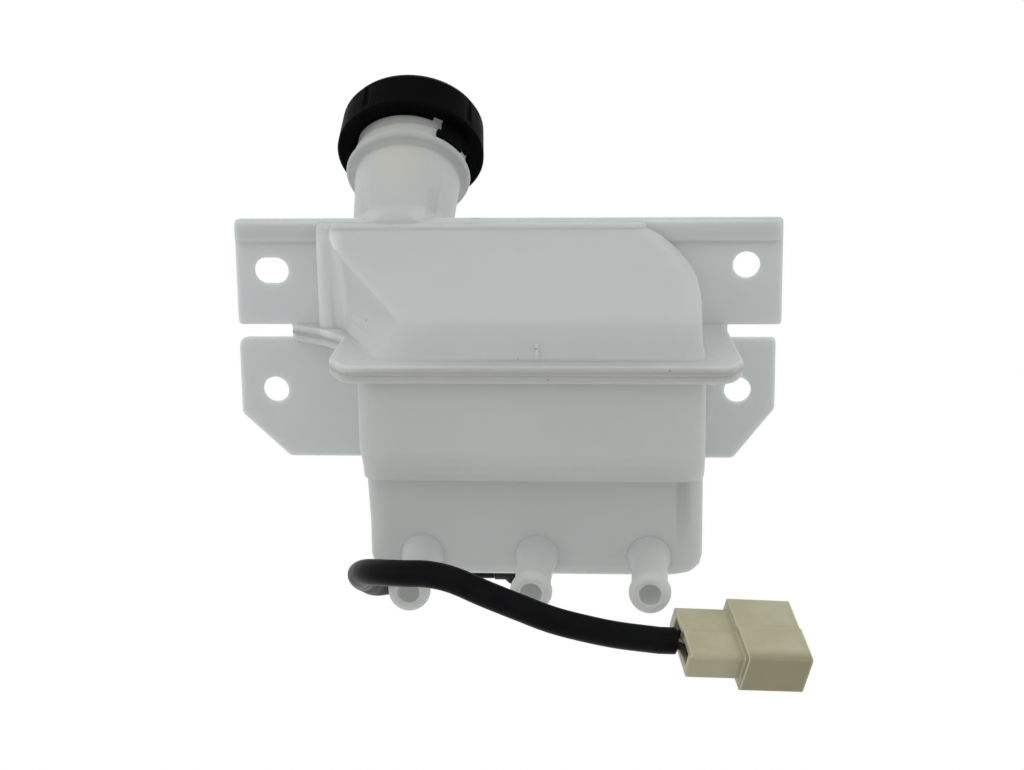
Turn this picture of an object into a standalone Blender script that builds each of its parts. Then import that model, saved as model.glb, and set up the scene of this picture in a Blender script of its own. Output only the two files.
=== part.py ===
# Brake fluid reservoir: two welded tank halves on a mounting plate, a leaning filler neck
# with its screw cap, a strainer, a float switch and a sleeved lead with a two way connector.
# Metres, +Z up, the plate's back lies in the plane y = 0 and the nipples point along -Y.

import math

import bmesh
import bpy
from mathutils import Matrix, Vector

# Clearances, and the spare length that joined shapes and cutters run past each other
GAP = 0.0003
RUN_GAP = 0.0006
SPARE = 0.0020
MERGE = 0.000008

# Mounting plate and its four tabs
PLATE_THICK = 0.003
PLATE_TOP = 0.0175
BOX_LEFT = 0.0665
TAB_LONG = 0.0302
UPPER_TAB_REACH = BOX_LEFT + TAB_LONG
UPPER_TAB_FOOT = -0.0202
UPPER_CORNER = 0.0015
LOWER_TAB_TOP = -0.0252
LOWER_TAB_FOOT = -0.0688
LOWER_TAB_SHORT = 0.0019
LOWER_TAB_LEFT = UPPER_TAB_REACH
LOWER_TAB_RIGHT = UPPER_TAB_REACH - LOWER_TAB_SHORT
CHAMFER_LEFT_WIDE = 0.0170
CHAMFER_LEFT_TALL = 0.0160
CHAMFER_RIGHT_WIDE = 0.0145
CHAMFER_RIGHT_TALL = 0.0183
LOWER_CORNER = 0.0030
TAB_SLOT_LEFT = 0.0195
TAB_SLOT_RIGHT = 0.0189
BRIDGE_LEFT = UPPER_TAB_REACH - TAB_SLOT_LEFT
BRIDGE_RIGHT = UPPER_TAB_REACH - TAB_SLOT_RIGHT
RIB_TALL = 0.0076
RIB_PROUD = 0.0030
HOLE_INSET = 0.0125
HOLE_INSET_RIGHT = 0.0131
HOLE_UPPER_LEFT = (-UPPER_TAB_REACH + HOLE_INSET, -0.0009)
HOLE_UPPER_RIGHT = (UPPER_TAB_REACH - HOLE_INSET, 0.0009)
HOLE_LOWER_LEFT = (-LOWER_TAB_LEFT + HOLE_INSET, -0.0443)
HOLE_LOWER_RIGHT = (LOWER_TAB_RIGHT - HOLE_INSET_RIGHT, -0.0440)
HOLE_WIDE = 0.0096
SLOT_LONG = 0.0126

# Weld seam and flange
SEAM_Z = -0.0229
FLANGE_HALF = 0.0028
FLANGE_FRONT = 0.0765
FLANGE_RIGHT = 0.0800
FLANGE_LEFT = 0.0552
FLANGE_CORNER = 0.0070
FLANGE_EDGE = 0.0006

# Walls
WALL = 0.0025
SLOPE_SHIFT = 0.0016
CORNER_STEPS = 5

# Upper half: a wedge that deepens from the plate's top edge down to the bend
TOP_DEPTH = 0.0095
BEND_DEPTH = 0.0620
BEND_Z = -0.0078
BEND_ROUND = 0.0016
FOOT_DEPTH = 0.0680
COVE = 0.0050
SLOPE_POWER = 1.25
TOP_ROUND = 0.0020
UPPER_RIGHT = 0.0670
SHOULDER_WIDE = 0.0220
SHOULDER_POWER = 1.3
SHOULDER_Z = -0.0030
RIGHT_COVE = 0.0035
BOX_DEPTH = 0.0120
BOX_CORNER = 0.0045
BOX_FRONT = 0.0048
ROOT_DRIFT = 0.0045
ROOT_ROUND = 0.0080
HIP_TOP_X = -0.0612
HIP_RUN = 0.0420
HIP_BEND_X = -0.0300
HIP_FOOT_X = -0.0433
HIP_ROUND = 0.0012
HIP_CORNER = 0.0110
FRONT_CORNER = 0.0070
GATE_X = 0.0139
GATE_TALL = 0.0066
GATE_WIDE = 0.0012
GATE_PROUD = 0.0008

# Lower half: a box whose front steps back above the nipples
LOWER_LEFT = 0.0450
LOWER_RIGHT = 0.0680
LOWER_RIGHT_BACK = 0.0698
LOWER_FLARE = 0.0008
LOWER_DRAW = 0.0011
FLARE_TALL = 0.0165
LOWER_FRONT = 0.0700
STEP_TOP_Z = -0.0500
STEP_FOOT_Z = -0.0640
LOWER_BACKSET = 0.0500
BOTTOM_Z = -0.0993
BOTTOM_ROUND = 0.0070
LOWER_FRONT_CORNER = 0.0090
BAFFLE_THICK = 0.0018
BAFFLE_TOP_Z = -0.0620

# Hose nipples
NIPPLE_X = (-0.0265, 0.0125, 0.0503)
NIPPLE_Z = -0.0911
NIPPLE_LONG = 0.0390
NIPPLE_RADIUS = 0.0059
NIPPLE_BEAD = 0.0068
NIPPLE_ROOT = 0.0072
NIPPLE_BORE = 0.0036

# Filler neck, which leans back through the plate's plane
NECK_BASE = Vector((-0.0384, 0.0120, 0.0130))
NECK_TILT = math.radians(49.4)
NECK_START = -0.0315
NECK_RADIUS_LOW = 0.0172
NECK_RADIUS = 0.0193
NECK_WALL = 0.0026
NECK_FOOT_TAPER = 0.0013
NECK_TOP = 0.0470
COLLAR_S = 0.0240
COLLAR_THICK = 0.0020
COLLAR_RADIUS = 0.0229
STRAINER_SEAT = 0.0022
STRAINER_LEDGE = 0.0018

# Screw cap
CAP_RIM_S = 0.0352
CAP_RADIUS = 0.0273
CAP_TOP_RADIUS = 0.0262
CAP_BORE = 0.0216
CAP_CROWN = 0.0024
CAP_EDGE = 0.0030
CAP_GRIPS = 4
CAP_GRIP_WIDE = 0.0034
CAP_GRIP_DEEP = 0.0011
CAP_GRIP_TURN = math.radians(-123.0)
SEAL_THICK = 0.0014
SEAL_WALL = 0.0011
BELLOWS_RADIUS = 0.0112
BELLOWS_DEEP = 0.0110
BELLOWS_FOLD = 0.0020
DISC_THICK = 0.0009

# Strainer
STRAINER_RADIUS = 0.0140
STRAINER_WALL = 0.0011
STRAINER_LONG = 0.0270
STRAINER_SLOTS = 8
STRAINER_SLOT_WIDE = 0.0062
STRAINER_SLOT_MARGIN = 0.0045

# Float and its stem
STEM_X = 0.0055
STEM_Y = -0.0200
STEM_RADIUS = 0.0045
STEM_BORE = 0.0033
STEM_SHOULDER_Z = -0.0520
STEM_TIP_RADIUS = 0.0034
STEM_HEAD_RADIUS = 0.0045
STOP_THICK = 0.0018
STOP_RADIUS = 0.0070
STEM_HEAD_TALL = 0.0014
STEM_ROOF = 0.0022
FLOAT_PAD = 0.0012
FLOAT_RADIUS = 0.0112
FLOAT_TALL = 0.0130
MAGNET_RADIUS = 0.0080
MAGNET_TALL = 0.0040
REED_RADIUS = 0.0012
REED_LONG = 0.0140
REED_Z = -0.0780
REED_OFFSET = 0.0012
REED_LEAD_RADIUS = 0.0003
REED_RETURN = 0.0020
REED_LOOP = 0.0022

# Switch holder under the tank, with the gland that the lead leaves by
HOLDER_RADIUS = 0.0062
HOLDER_DEEP = 0.0106
HOLDER_SPIGOT_LONG = 0.0060
GLAND_RADIUS = 0.0046
GLAND_REACH = 0.0097
RING_THICK = 0.0013

# Lead: a stiff sleeve over two wires
SLEEVE_DIAMETER = 0.0084
SLEEVE_POINTS = 26
WIRE_RADIUS = 0.0012
WIRE_PITCH = 0.0105
WIRE_SHOWN = 0.0042
WIRE_START = 0.0018
GLAND_STRAIGHT = 0.0042
SLEEVE_STRAIGHT = 0.0050

# Connector, placed by the middle of its rear face
PLUG_AT = Vector((0.0597, -0.1004, -0.1020))
PLUG_YAW = math.radians(15.2)
PLUG_PITCH = math.radians(-6.95)
PLUG_ROLL = math.radians(22.3)
REAR_LONG = 0.0172
REAR_WIDE = 0.0240
REAR_TALL = 0.0088
HOOD_LONG = 0.0207
HOOD_WIDE = 0.0290
HOOD_TALL = 0.0138
HOOD_WALL = 0.0013
HOOD_STEP = 0.0007
HOOD_CORNER = 0.0012
HOOD_FLOOR = 0.0030
CHAMBER_ROOM = 0.0004
BLADE_WIDE = 0.0063
BLADE_THICK = 0.0008
BLADE_REACH = 0.0120
BLADE_TIP = 0.0016
CRIMP_FROM = 0.0050
CRIMP_LONG = 0.0098
CRIMP_WALL = 0.0005
WIRE_END = 0.0075

# The sleeve's hand chosen route, from the gland round the left nipple to the connector
SLEEVE_ROUTE = (
    (-0.0135, -0.0204, -0.1052), (-0.0225, -0.0222, -0.1061), (-0.0320, -0.0266, -0.1069),
    (-0.0395, -0.0345, -0.1061), (-0.0437, -0.0450, -0.1032), (-0.0452, -0.0560, -0.0982),
    (-0.0450, -0.0670, -0.0936), (-0.0434, -0.0780, -0.0888), (-0.0398, -0.0878, -0.0848),
    (-0.0340, -0.0953, -0.0824), (-0.0265, -0.1001, -0.0810), (-0.0185, -0.1024, -0.0804),
    (-0.0105, -0.1037, -0.0818), (-0.0010, -0.1050, -0.0855), (0.0095, -0.1058, -0.0895),
    (0.0200, -0.1068, -0.0932), (0.0305, -0.1067, -0.0960), (0.0405, -0.1056, -0.0984),
)


# Bookkeeping

def clear_scene():
    for obj in list(bpy.data.objects):
        bpy.data.objects.remove(obj, do_unlink=True)


def material(name, color, roughness, metallic=0.0):
    mat = bpy.data.materials.new(name)
    mat.use_nodes = True
    shader = mat.node_tree.nodes["Principled BSDF"]
    shader.inputs["Base Color"].default_value = (*color, 1.0)
    shader.inputs["Roughness"].default_value = roughness
    shader.inputs["Metallic"].default_value = metallic
    mat.diffuse_color = (*color, 1.0)
    return mat


def finish(name, bm, mat=None, frame=None, smooth=True):
    bmesh.ops.remove_doubles(bm, verts=bm.verts, dist=1e-7)
    bmesh.ops.recalc_face_normals(bm, faces=bm.faces)
    mesh = bpy.data.meshes.new(name)
    bm.to_mesh(mesh)
    bm.free()
    obj = bpy.data.objects.new(name, mesh)
    bpy.context.scene.collection.objects.link(obj)
    if mat is not None:
        mesh.materials.append(mat)
    if frame is not None:
        obj.matrix_world = frame
    if smooth:
        soften(mesh)
    return obj


def soften(mesh):
    mesh.shade_smooth()
    mesh.set_sharp_from_angle(angle=math.radians(38.0))


def combine(target, tools, operation):
    for tool in tools:
        modifier = target.modifiers.new("cut", "BOOLEAN")
        modifier.operation = operation
        modifier.solver = "EXACT"
        modifier.object = tool
        bpy.context.view_layer.update()
        graph = bpy.context.evaluated_depsgraph_get()
        mesh = bpy.data.meshes.new_from_object(target.evaluated_get(graph))
        target.modifiers.clear()
        target.data = mesh
        bpy.data.objects.remove(tool, do_unlink=True)
        merge_slivers(mesh)
    soften(target.data)
    return target


def merge_slivers(mesh):
    """Join points that a cut left a few microns apart and close the slits between them."""
    bm = bmesh.new()
    bm.from_mesh(mesh)
    bmesh.ops.remove_doubles(bm, verts=bm.verts, dist=MERGE)
    bmesh.ops.dissolve_degenerate(bm, edges=bm.edges, dist=MERGE)
    open_edges = [edge for edge in bm.edges if edge.is_boundary]
    bmesh.ops.holes_fill(bm, edges=open_edges, sides=4)
    bm.to_mesh(mesh)
    bm.free()


# Shape helpers

def rounded(corners, steps=CORNER_STEPS):
    """Outline through (x, y, radius) corners, each turned by steps + 1 points."""
    points = []
    count = len(corners)
    for i, (x, y, radius) in enumerate(corners):
        here = Vector((x, y))
        back = Vector(corners[i - 1][:2]) - here
        ahead = Vector(corners[(i + 1) % count][:2]) - here
        half = back.angle(ahead) / 2.0
        reach = min(radius / math.tan(half), 0.48 * back.length, 0.48 * ahead.length)
        start = here + back.normalized() * reach
        end = here + ahead.normalized() * reach
        for k in range(steps + 1):
            t = k / steps
            points.append(start * (1 - t) ** 2 + here * (2 * t * (1 - t)) + end * t ** 2)
    return points


def loft(sections, closed=False):
    """Skin over rings of 3D points; the first and last ring are closed with flat faces."""
    bm = bmesh.new()
    rings = [[bm.verts.new(p) for p in ring] for ring in sections]
    count = len(rings[0])
    pairs = list(zip(rings, rings[1:]))
    if closed:
        pairs.append((rings[-1], rings[0]))
    for low, high in pairs:
        for i in range(count):
            j = (i + 1) % count
            bm.faces.new((low[i], low[j], high[j], high[i]))
    if not closed:
        ends = [bm.faces.new(rings[0]), bm.faces.new(rings[-1])]
        bm.normal_update()
        bmesh.ops.triangulate(bm, faces=ends, ngon_method="EAR_CLIP")
    return bm


def flat_prism(outline, low, high):
    """Solid between z = low and z = high over an outline in X and Y."""
    return loft([[(p[0], p[1], z) for p in outline] for z in (low, high)])


def wall_prism(outline, back, front):
    """Solid between y = back and y = front over an outline in X and Z."""
    return loft([[(p[0], y, p[1]) for p in outline] for y in (back, front)])


def turned(profile, segments, closed=False):
    """Solid of revolution round Z from (radius, height) points; radius 0 is a pole."""
    bm = bmesh.new()
    rings = []
    for radius, height in profile:
        if radius <= 0.0:
            rings.append([bm.verts.new((0.0, 0.0, height))])
            continue
        ring = []
        for k in range(segments):
            a = 2.0 * math.pi * k / segments
            ring.append(bm.verts.new((radius * math.cos(a), radius * math.sin(a), height)))
        rings.append(ring)
    pairs = list(zip(rings, rings[1:]))
    if closed:
        pairs.append((rings[-1], rings[0]))
    for low, high in pairs:
        if len(low) == len(high) == 1:
            continue
        for k in range(segments):
            n = (k + 1) % segments
            if len(low) == 1:
                bm.faces.new((low[0], high[n], high[k]))
            elif len(high) == 1:
                bm.faces.new((low[k], low[n], high[0]))
            else:
                bm.faces.new((low[k], low[n], high[n], high[k]))
    return bm


def rod(radius, low, high, segments):
    return turned([(0.0, low), (radius, low), (radius, high), (0.0, high)], segments)


def ring_solid(inner, outer, low, high, segments):
    profile = [(inner, low), (outer, low), (outer, high), (inner, high)]
    return turned(profile, segments, closed=True)


def disc_points(x, y, radius, count=32, stretch=0.0):
    """Circle, or a slot when stretch moves its two halves apart along X."""
    points = []
    for k in range(count):
        a = 2.0 * math.pi * (k + 0.5) / count
        shift = math.copysign(stretch / 2.0, math.cos(a))
        points.append((x + shift + radius * math.cos(a), y + radius * math.sin(a)))
    return points


def inset(corners, amount, back_too=False):
    """Corners of a tank section moved in by amount; the back face stays unless told."""
    moved = []
    xs = [c[0] for c in corners]
    middle = (min(xs) + max(xs)) / 2.0
    for x, y, radius in corners:
        x_new = x + amount if x < middle else x - amount
        y_new = y + amount if y < -1e-6 else y - (amount if back_too else 0.0)
        moved.append((x_new, y_new, max(radius - amount * 0.5, 0.0005)))
    return moved


# Frames

def neck_frame(s=0.0):
    """Frame on the neck's axis: Z along the neck, X along the plate, -Y to the front."""
    axis = Vector((0.0, math.sin(NECK_TILT), math.cos(NECK_TILT)))
    side = Vector((1.0, 0.0, 0.0))
    depth = axis.cross(side)
    turn = Matrix((side, depth, axis)).transposed().to_4x4()
    return Matrix.Translation(NECK_BASE + axis * s) @ turn


def nipple_frame(x):
    turn = Matrix.Rotation(math.radians(90.0), 4, "X")
    return Matrix.Translation((x, -LOWER_BACKSET, NIPPLE_Z)) @ turn


def stem_frame(z=0.0):
    return Matrix.Translation((STEM_X, STEM_Y, z))


def plug_frame(along=0.0):
    """Frame of the connector: X to its mouth, Y across its width, Z up out of its top."""
    turn = Matrix.Rotation(PLUG_YAW, 4, "Z") @ Matrix.Rotation(-PLUG_PITCH, 4, "Y")
    turn = turn @ Matrix.Rotation(PLUG_ROLL, 4, "X")
    return Matrix.Translation(PLUG_AT) @ turn @ Matrix.Translation((along, 0.0, 0.0))


# Mounting plate

def upper_plate():
    foot = SEAM_Z - SPARE * 1.4
    corners = [
        (-UPPER_TAB_REACH, PLATE_TOP, UPPER_CORNER), (UPPER_TAB_REACH, PLATE_TOP, UPPER_CORNER),
        (UPPER_TAB_REACH, UPPER_TAB_FOOT, UPPER_CORNER), (BRIDGE_RIGHT, UPPER_TAB_FOOT, 0.0006),
        (BRIDGE_RIGHT, foot, 0.0003), (-BRIDGE_LEFT, foot, 0.0003),
        (-BRIDGE_LEFT, UPPER_TAB_FOOT, 0.0006), (-UPPER_TAB_REACH, UPPER_TAB_FOOT, UPPER_CORNER),
    ]
    return finish("upper_plate", wall_prism(rounded(corners, 3), SPARE * 1.4, -PLATE_THICK))


def lower_plate():
    top = SEAM_Z + SPARE * 1.4
    right_x = LOWER_TAB_RIGHT
    corners = [
        (-LOWER_TAB_LEFT, LOWER_TAB_TOP, LOWER_CORNER), (-BRIDGE_LEFT, LOWER_TAB_TOP, 0.0006),
        (-BRIDGE_LEFT, top, 0.0003), (BRIDGE_RIGHT, top, 0.0003),
        (BRIDGE_RIGHT, LOWER_TAB_TOP, 0.0006), (right_x, LOWER_TAB_TOP, UPPER_CORNER),
        (right_x, LOWER_TAB_FOOT + CHAMFER_RIGHT_TALL, LOWER_CORNER),
        (right_x - CHAMFER_RIGHT_WIDE, LOWER_TAB_FOOT, LOWER_CORNER),
        (-LOWER_TAB_LEFT + CHAMFER_LEFT_WIDE, LOWER_TAB_FOOT, LOWER_CORNER),
        (-LOWER_TAB_LEFT, LOWER_TAB_FOOT + CHAMFER_LEFT_TALL, LOWER_CORNER),
    ]
    return finish("lower_plate", wall_prism(rounded(corners, 3), SPARE * 1.4, -PLATE_THICK))


def plate_hole(place, stretch=0.0):
    outline = disc_points(*place, HOLE_WIDE / 2.0, stretch=stretch)
    return finish("hole", wall_prism(outline, PLATE_THICK, -3.0 * PLATE_THICK))


def top_rib():
    """Stiffening band along the plate's top edge, with softened ends."""
    soft = 0.0008
    reach = UPPER_TAB_REACH - soft * 0.5
    top = PLATE_TOP - soft * 0.5
    corners = [
        (-reach, top, UPPER_CORNER), (reach, top, UPPER_CORNER),
        (reach, top - RIB_TALL, UPPER_CORNER), (-reach, top - RIB_TALL, UPPER_CORNER),
    ]
    front = -PLATE_THICK - RIB_PROUD
    rings = []
    for y, shrink in ((-PLATE_THICK * 0.5, 0.0), (front + soft, 0.0), (front, soft)):
        ring = []
        for p in rounded(corners, 3):
            x = p[0] - math.copysign(shrink, p[0])
            z = p[1] + (shrink if p[1] < top - RIB_TALL / 2.0 else -shrink * 0.3)
            ring.append((x, y, z))
        rings.append(ring)
    return finish("rib", loft(rings))


# Upper half

def front_depth(z):
    """How far the front stands out at height z: a slope and a wall with a soft bend between."""
    t = max(0.0, (PLATE_TOP - z) / (PLATE_TOP - BEND_Z))
    slope = TOP_DEPTH + (BEND_DEPTH - TOP_DEPTH) * t ** SLOPE_POWER
    t = (BEND_Z - z) / (BEND_Z - SEAM_Z)
    wall = BEND_DEPTH + (FOOT_DEPTH - BEND_DEPTH) * t + COVE * max(0.0, t) ** 6
    return (slope + wall - math.hypot(slope - wall, 2.0 * BEND_ROUND)) / 2.0


def right_edge(z):
    """Right side of the upper half: a soft slant at the top and a cove over the flange."""
    t = min(1.0, max(0.0, (z - SHOULDER_Z) / (PLATE_TOP - SHOULDER_Z)))
    reach = (1.0 - t ** SHOULDER_POWER) ** (1.0 / SHOULDER_POWER)
    t = max(0.0, (BEND_Z - z) / (BEND_Z - SEAM_Z))
    return UPPER_RIGHT - SHOULDER_WIDE * (1.0 - reach) + RIGHT_COVE * t ** 6


def hip_edge(z):
    """Left front corner of the upper half: a hip that runs in to the bend and out below it."""
    t = (PLATE_TOP - z) / (PLATE_TOP - BEND_Z)
    run = HIP_BEND_X - HIP_RUN * (1.0 - t)
    above = (run + HIP_TOP_X + math.hypot(run - HIP_TOP_X, 2.0 * HIP_ROUND)) / 2.0
    t = (BEND_Z - z) / (BEND_Z - SEAM_Z)
    below = HIP_BEND_X + (HIP_FOOT_X - HIP_BEND_X) * t * abs(t) ** 0.6
    return (above + below - math.hypot(above - below, 2.0 * HIP_ROUND)) / 2.0


def upper_corners(z, depth_z, wall):
    """Section of the upper half at height z, set in by wall; wall 0 runs past the back."""
    back = -wall if wall else SPARE * 0.6
    depth = front_depth(depth_z)
    box = min(BOX_DEPTH, depth - 0.0010)
    right = right_edge(depth_z)
    hip = hip_edge(depth_z)
    left = -BOX_LEFT
    fall = min(1.0, max(0.0, (PLATE_TOP - z) / (PLATE_TOP - SEAM_Z)))
    root = left + BOX_FRONT + ROOT_DRIFT * fall
    return [
        (right - wall, back, 0.0010), (left + wall, back, 0.0010),
        (left + wall, -box + wall, max(BOX_CORNER - wall, 0.001)),
        (root + wall, -box + wall, ROOT_ROUND),
        (hip + 0.7 * wall, -depth + wall, HIP_CORNER - wall),
        (right - wall, -depth + wall, max(FRONT_CORNER - wall, 0.001)),
    ]


def upper_levels():
    span = PLATE_TOP - BEND_Z
    start = 1.3 * TOP_ROUND
    levels = [PLATE_TOP - start - (span - start) * k / 9.0 for k in range(1, 9)]
    levels += [BEND_Z + BEND_ROUND * k for k in (0.75, 0.0, -0.75, -1.6)]
    drop = BEND_Z - SEAM_Z - FLANGE_HALF
    levels += [BEND_Z - drop * k for k in (0.35, 0.6, 0.8, 0.92, 1.15)]
    return levels


def upper_outer():
    top = PLATE_TOP - TOP_ROUND * 0.3
    sections = []
    for turn in (0.0, 30.0, 60.0):
        a = math.radians(turn)
        z = top - TOP_ROUND * (1.0 - math.sin(a))
        corners = upper_corners(z, PLATE_TOP - TOP_ROUND, 0.0)
        corners = inset(corners, TOP_ROUND * (1.0 - math.cos(a)))
        sections.append((z, corners))
    sections.reverse()
    for z in upper_levels():
        sections.append((z, upper_corners(z, z, 0.0)))
    rings = [[(p[0], p[1], z) for p in rounded(c)] for z, c in sections]
    return finish("upper_outer", loft(rings))


def upper_cavity():
    top = PLATE_TOP - WALL
    span = top - BEND_Z
    heights = [top - span * k / 8.0 for k in range(9)]
    drop = BEND_Z - SEAM_Z
    heights += [BEND_Z - drop * k for k in (0.3, 0.6, 0.8, 1.1)]
    rings = []
    for z in heights:
        depth_z = min(z + SLOPE_SHIFT, PLATE_TOP)
        depth_z = depth_z if z > BEND_Z else z
        corners = upper_corners(z, depth_z, WALL)
        rings.append([(p[0], p[1], z) for p in rounded(corners)])
    return finish("upper_cavity", loft(rings))


def flange_outline():
    """Weld flange in plan: a narrow ledge at the left of the plate, full width in front."""
    corners = [
        (BRIDGE_RIGHT - 0.0012, SPARE, 0.0005), (-BRIDGE_LEFT + 0.0012, SPARE, 0.0005),
        (-BRIDGE_LEFT + 0.0012, -PLATE_THICK - 0.0024, 0.0012),
        (-BOX_LEFT + 0.0015, -BOX_DEPTH - 0.0020, 0.0060),
        (-FLANGE_LEFT, -BOX_DEPTH - 0.0150, 0.0100),
        (-FLANGE_LEFT + 0.0010, -FLANGE_FRONT + 0.0130, 0.0100),
        (-FLANGE_LEFT + 0.0075, -FLANGE_FRONT, FLANGE_CORNER),
        (FLANGE_RIGHT - 0.0040, -FLANGE_FRONT, FLANGE_CORNER),
        (FLANGE_RIGHT, -FLANGE_FRONT + 0.0120, FLANGE_CORNER),
    ]
    return rounded(corners, 4)


def flange(mating, free):
    """One half of the weld flange, with its free edge softened."""
    outline = flange_outline()
    middle = Vector((0.0, -FLANGE_FRONT / 2.0))
    side = math.copysign(1.0, free - mating)
    rings = []
    for z, shrink in ((mating - side * SPARE, 0.0), (free - side * FLANGE_EDGE * 1.6, 0.0),
                      (free - side * FLANGE_EDGE * 0.4, 0.5), (free, 1.0)):
        ring = []
        for p in outline:
            out = (p - middle).normalized() * FLANGE_EDGE * shrink
            y = p[1] if p[1] > 0.0 else p[1] - out[1]
            ring.append((p[0] - out[0], y, z))
        rings.append(ring)
    return finish("flange", loft(rings))


def half_space(name, x=(-0.2, 0.2), y=(-0.2, 0.2), z=(-0.2, 0.2)):
    """Large cutter that trims joined shapes to one flat plane."""
    outline = [(x[0], y[0]), (x[1], y[0]), (x[1], y[1]), (x[0], y[1])]
    return finish(name, flat_prism(outline, z[0], z[1]))


def neck_radius(s):
    """The neck widens a little from the tank to the collar."""
    t = min(1.0, max(0.0, (s + 0.010) / (COLLAR_S + 0.010)))
    return NECK_RADIUS_LOW + (NECK_RADIUS - NECK_RADIUS_LOW) * t


def neck_outer():
    collar_top = COLLAR_S + COLLAR_THICK
    profile = [
        (0.0, NECK_START), (neck_radius(NECK_START) - NECK_FOOT_TAPER, NECK_START),
        (neck_radius(NECK_START), NECK_START + 0.0075), (neck_radius(-0.010), -0.010), (neck_radius(0.008), 0.008),
        (neck_radius(COLLAR_S), COLLAR_S - 0.0022),
        (COLLAR_RADIUS - 0.0016, COLLAR_S - 0.0004), (COLLAR_RADIUS - 0.0004, COLLAR_S),
        (COLLAR_RADIUS, COLLAR_S + COLLAR_THICK / 2.0), (COLLAR_RADIUS - 0.0004, collar_top),
        (NECK_RADIUS + 0.0008, collar_top + 0.0004), (NECK_RADIUS, collar_top + 0.0014),
        (NECK_RADIUS, NECK_TOP - 0.0008), (NECK_RADIUS - 0.0008, NECK_TOP), (0.0, NECK_TOP),
    ]
    return finish("neck", turned(profile, 56), frame=neck_frame())


def neck_bore():
    """Straight bore with a counterbore at the mouth that the strainer's rim lies in."""
    bore = NECK_RADIUS_LOW - NECK_WALL
    mouth = strainer_rim() + GAP
    seat = NECK_TOP - STRAINER_SEAT
    profile = [
        (0.0, NECK_START + NECK_WALL), (bore, NECK_START + NECK_WALL), (bore, seat),
        (mouth, seat), (mouth, NECK_TOP + WALL), (0.0, NECK_TOP + WALL),
    ]
    return finish("neck_bore", turned(profile, 48), frame=neck_frame())


def strainer_rim():
    return NECK_RADIUS_LOW - NECK_WALL + STRAINER_LEDGE


def gate_nub():
    """Moulding gate mark: a short low rib on the front, just above the flange."""
    low = SEAM_Z + FLANGE_HALF / 2.0
    heights = [low + GATE_TALL * k / 5.0 for k in range(6)]
    outline = [(-front_depth(z) + WALL / 2.0, z) for z in heights]
    outline += [(-front_depth(z) - GATE_PROUD, z) for z in reversed(heights)]
    half = GATE_WIDE / 2.0
    return finish("gate_nub", along_x(outline, GATE_X - half, GATE_X + half))


def build_upper_tank(mat):
    low = SEAM_Z + GAP / 2.0
    tank = upper_outer()
    combine(tank, [flange(low, SEAM_Z + FLANGE_HALF), upper_plate(), top_rib()], "UNION")
    combine(tank, [half_space("behind", y=(0.0, 0.2)), half_space("below", z=(-0.2, low))],
            "DIFFERENCE")
    combine(tank, [neck_outer(), gate_nub()], "UNION")
    slot = SLOT_LONG - HOLE_WIDE
    cuts = [upper_cavity(), neck_bore(), plate_hole(HOLE_UPPER_LEFT, slot),
            plate_hole(HOLE_UPPER_RIGHT)]
    combine(tank, cuts, "DIFFERENCE")
    return name_piece(tank, "upper_tank", mat)


def name_piece(obj, name, mat):
    obj.name = name
    obj.data.materials.clear()
    obj.data.materials.append(mat)
    return obj


# Lower half

def lower_left(z):
    """The left wall draws in where the front steps back, then tapers in above the nipples."""
    part = min(1.0, max(0.0, (STEP_TOP_Z - z) / (STEP_TOP_Z - STEP_FOOT_Z)))
    draw = LOWER_DRAW * math.sin(math.pi * part)
    left = min(1.0, max(0.0, (STEP_FOOT_Z - z) / FLARE_TALL))
    return -LOWER_LEFT + draw - LOWER_FLARE * part * (1.0 - left)


def lower_corners(z, depth, wall):
    radius = max(LOWER_FRONT_CORNER - wall, 0.001)
    back = -wall if wall else SPARE * 0.6
    left = lower_left(z) + wall
    return [
        (LOWER_RIGHT_BACK - wall, back, 0.0012), (left, back, 0.0012),
        (left, -depth + wall, radius), (LOWER_RIGHT - wall, -depth + wall, radius),
    ]


def lower_rings(top, bottom, wall, bottom_round):
    """Sections from the seam down, with the step and a rounded bottom edge."""
    rings = []
    levels = [(top, LOWER_FRONT)]
    fall = STEP_TOP_Z - STEP_FOOT_Z - wall
    for turn in (0.0, 15.0, 30.0, 45.0, 60.0, 75.0, 90.0):
        a = math.radians(turn)
        depth = LOWER_BACKSET + (LOWER_FRONT - LOWER_BACKSET) * math.cos(a)
        levels.append((STEP_TOP_Z - fall * math.sin(a), depth))
    levels.append((STEP_FOOT_Z - FLARE_TALL, LOWER_BACKSET))
    for z, depth in levels:
        rings.append((z, lower_corners(z, depth, wall)))
    for turn in (0, 25, 50, 75, 90):
        a = math.radians(turn)
        z = bottom + bottom_round * (1.0 - math.sin(a))
        corners = lower_corners(z, LOWER_BACKSET, wall)
        shrink = bottom_round * (1.0 - math.cos(a))
        corners = [(x + (shrink if x < 0 else -shrink),
                    y + (shrink if y < -WALL * 2 else 0.0), r) for x, y, r in corners]
        rings.append((z, corners))
    return [[(p[0], p[1], z) for p in rounded(c)] for z, c in rings]


def lower_outer():
    rings = lower_rings(SEAM_Z - FLANGE_HALF * 0.6, BOTTOM_Z, 0.0, BOTTOM_ROUND)
    return finish("lower_outer", loft(rings))


def lower_cavity():
    round_in = BOTTOM_ROUND - WALL
    rings = lower_rings(SEAM_Z + WALL, BOTTOM_Z + WALL, WALL, round_in)
    return finish("lower_cavity", loft(rings))


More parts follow.
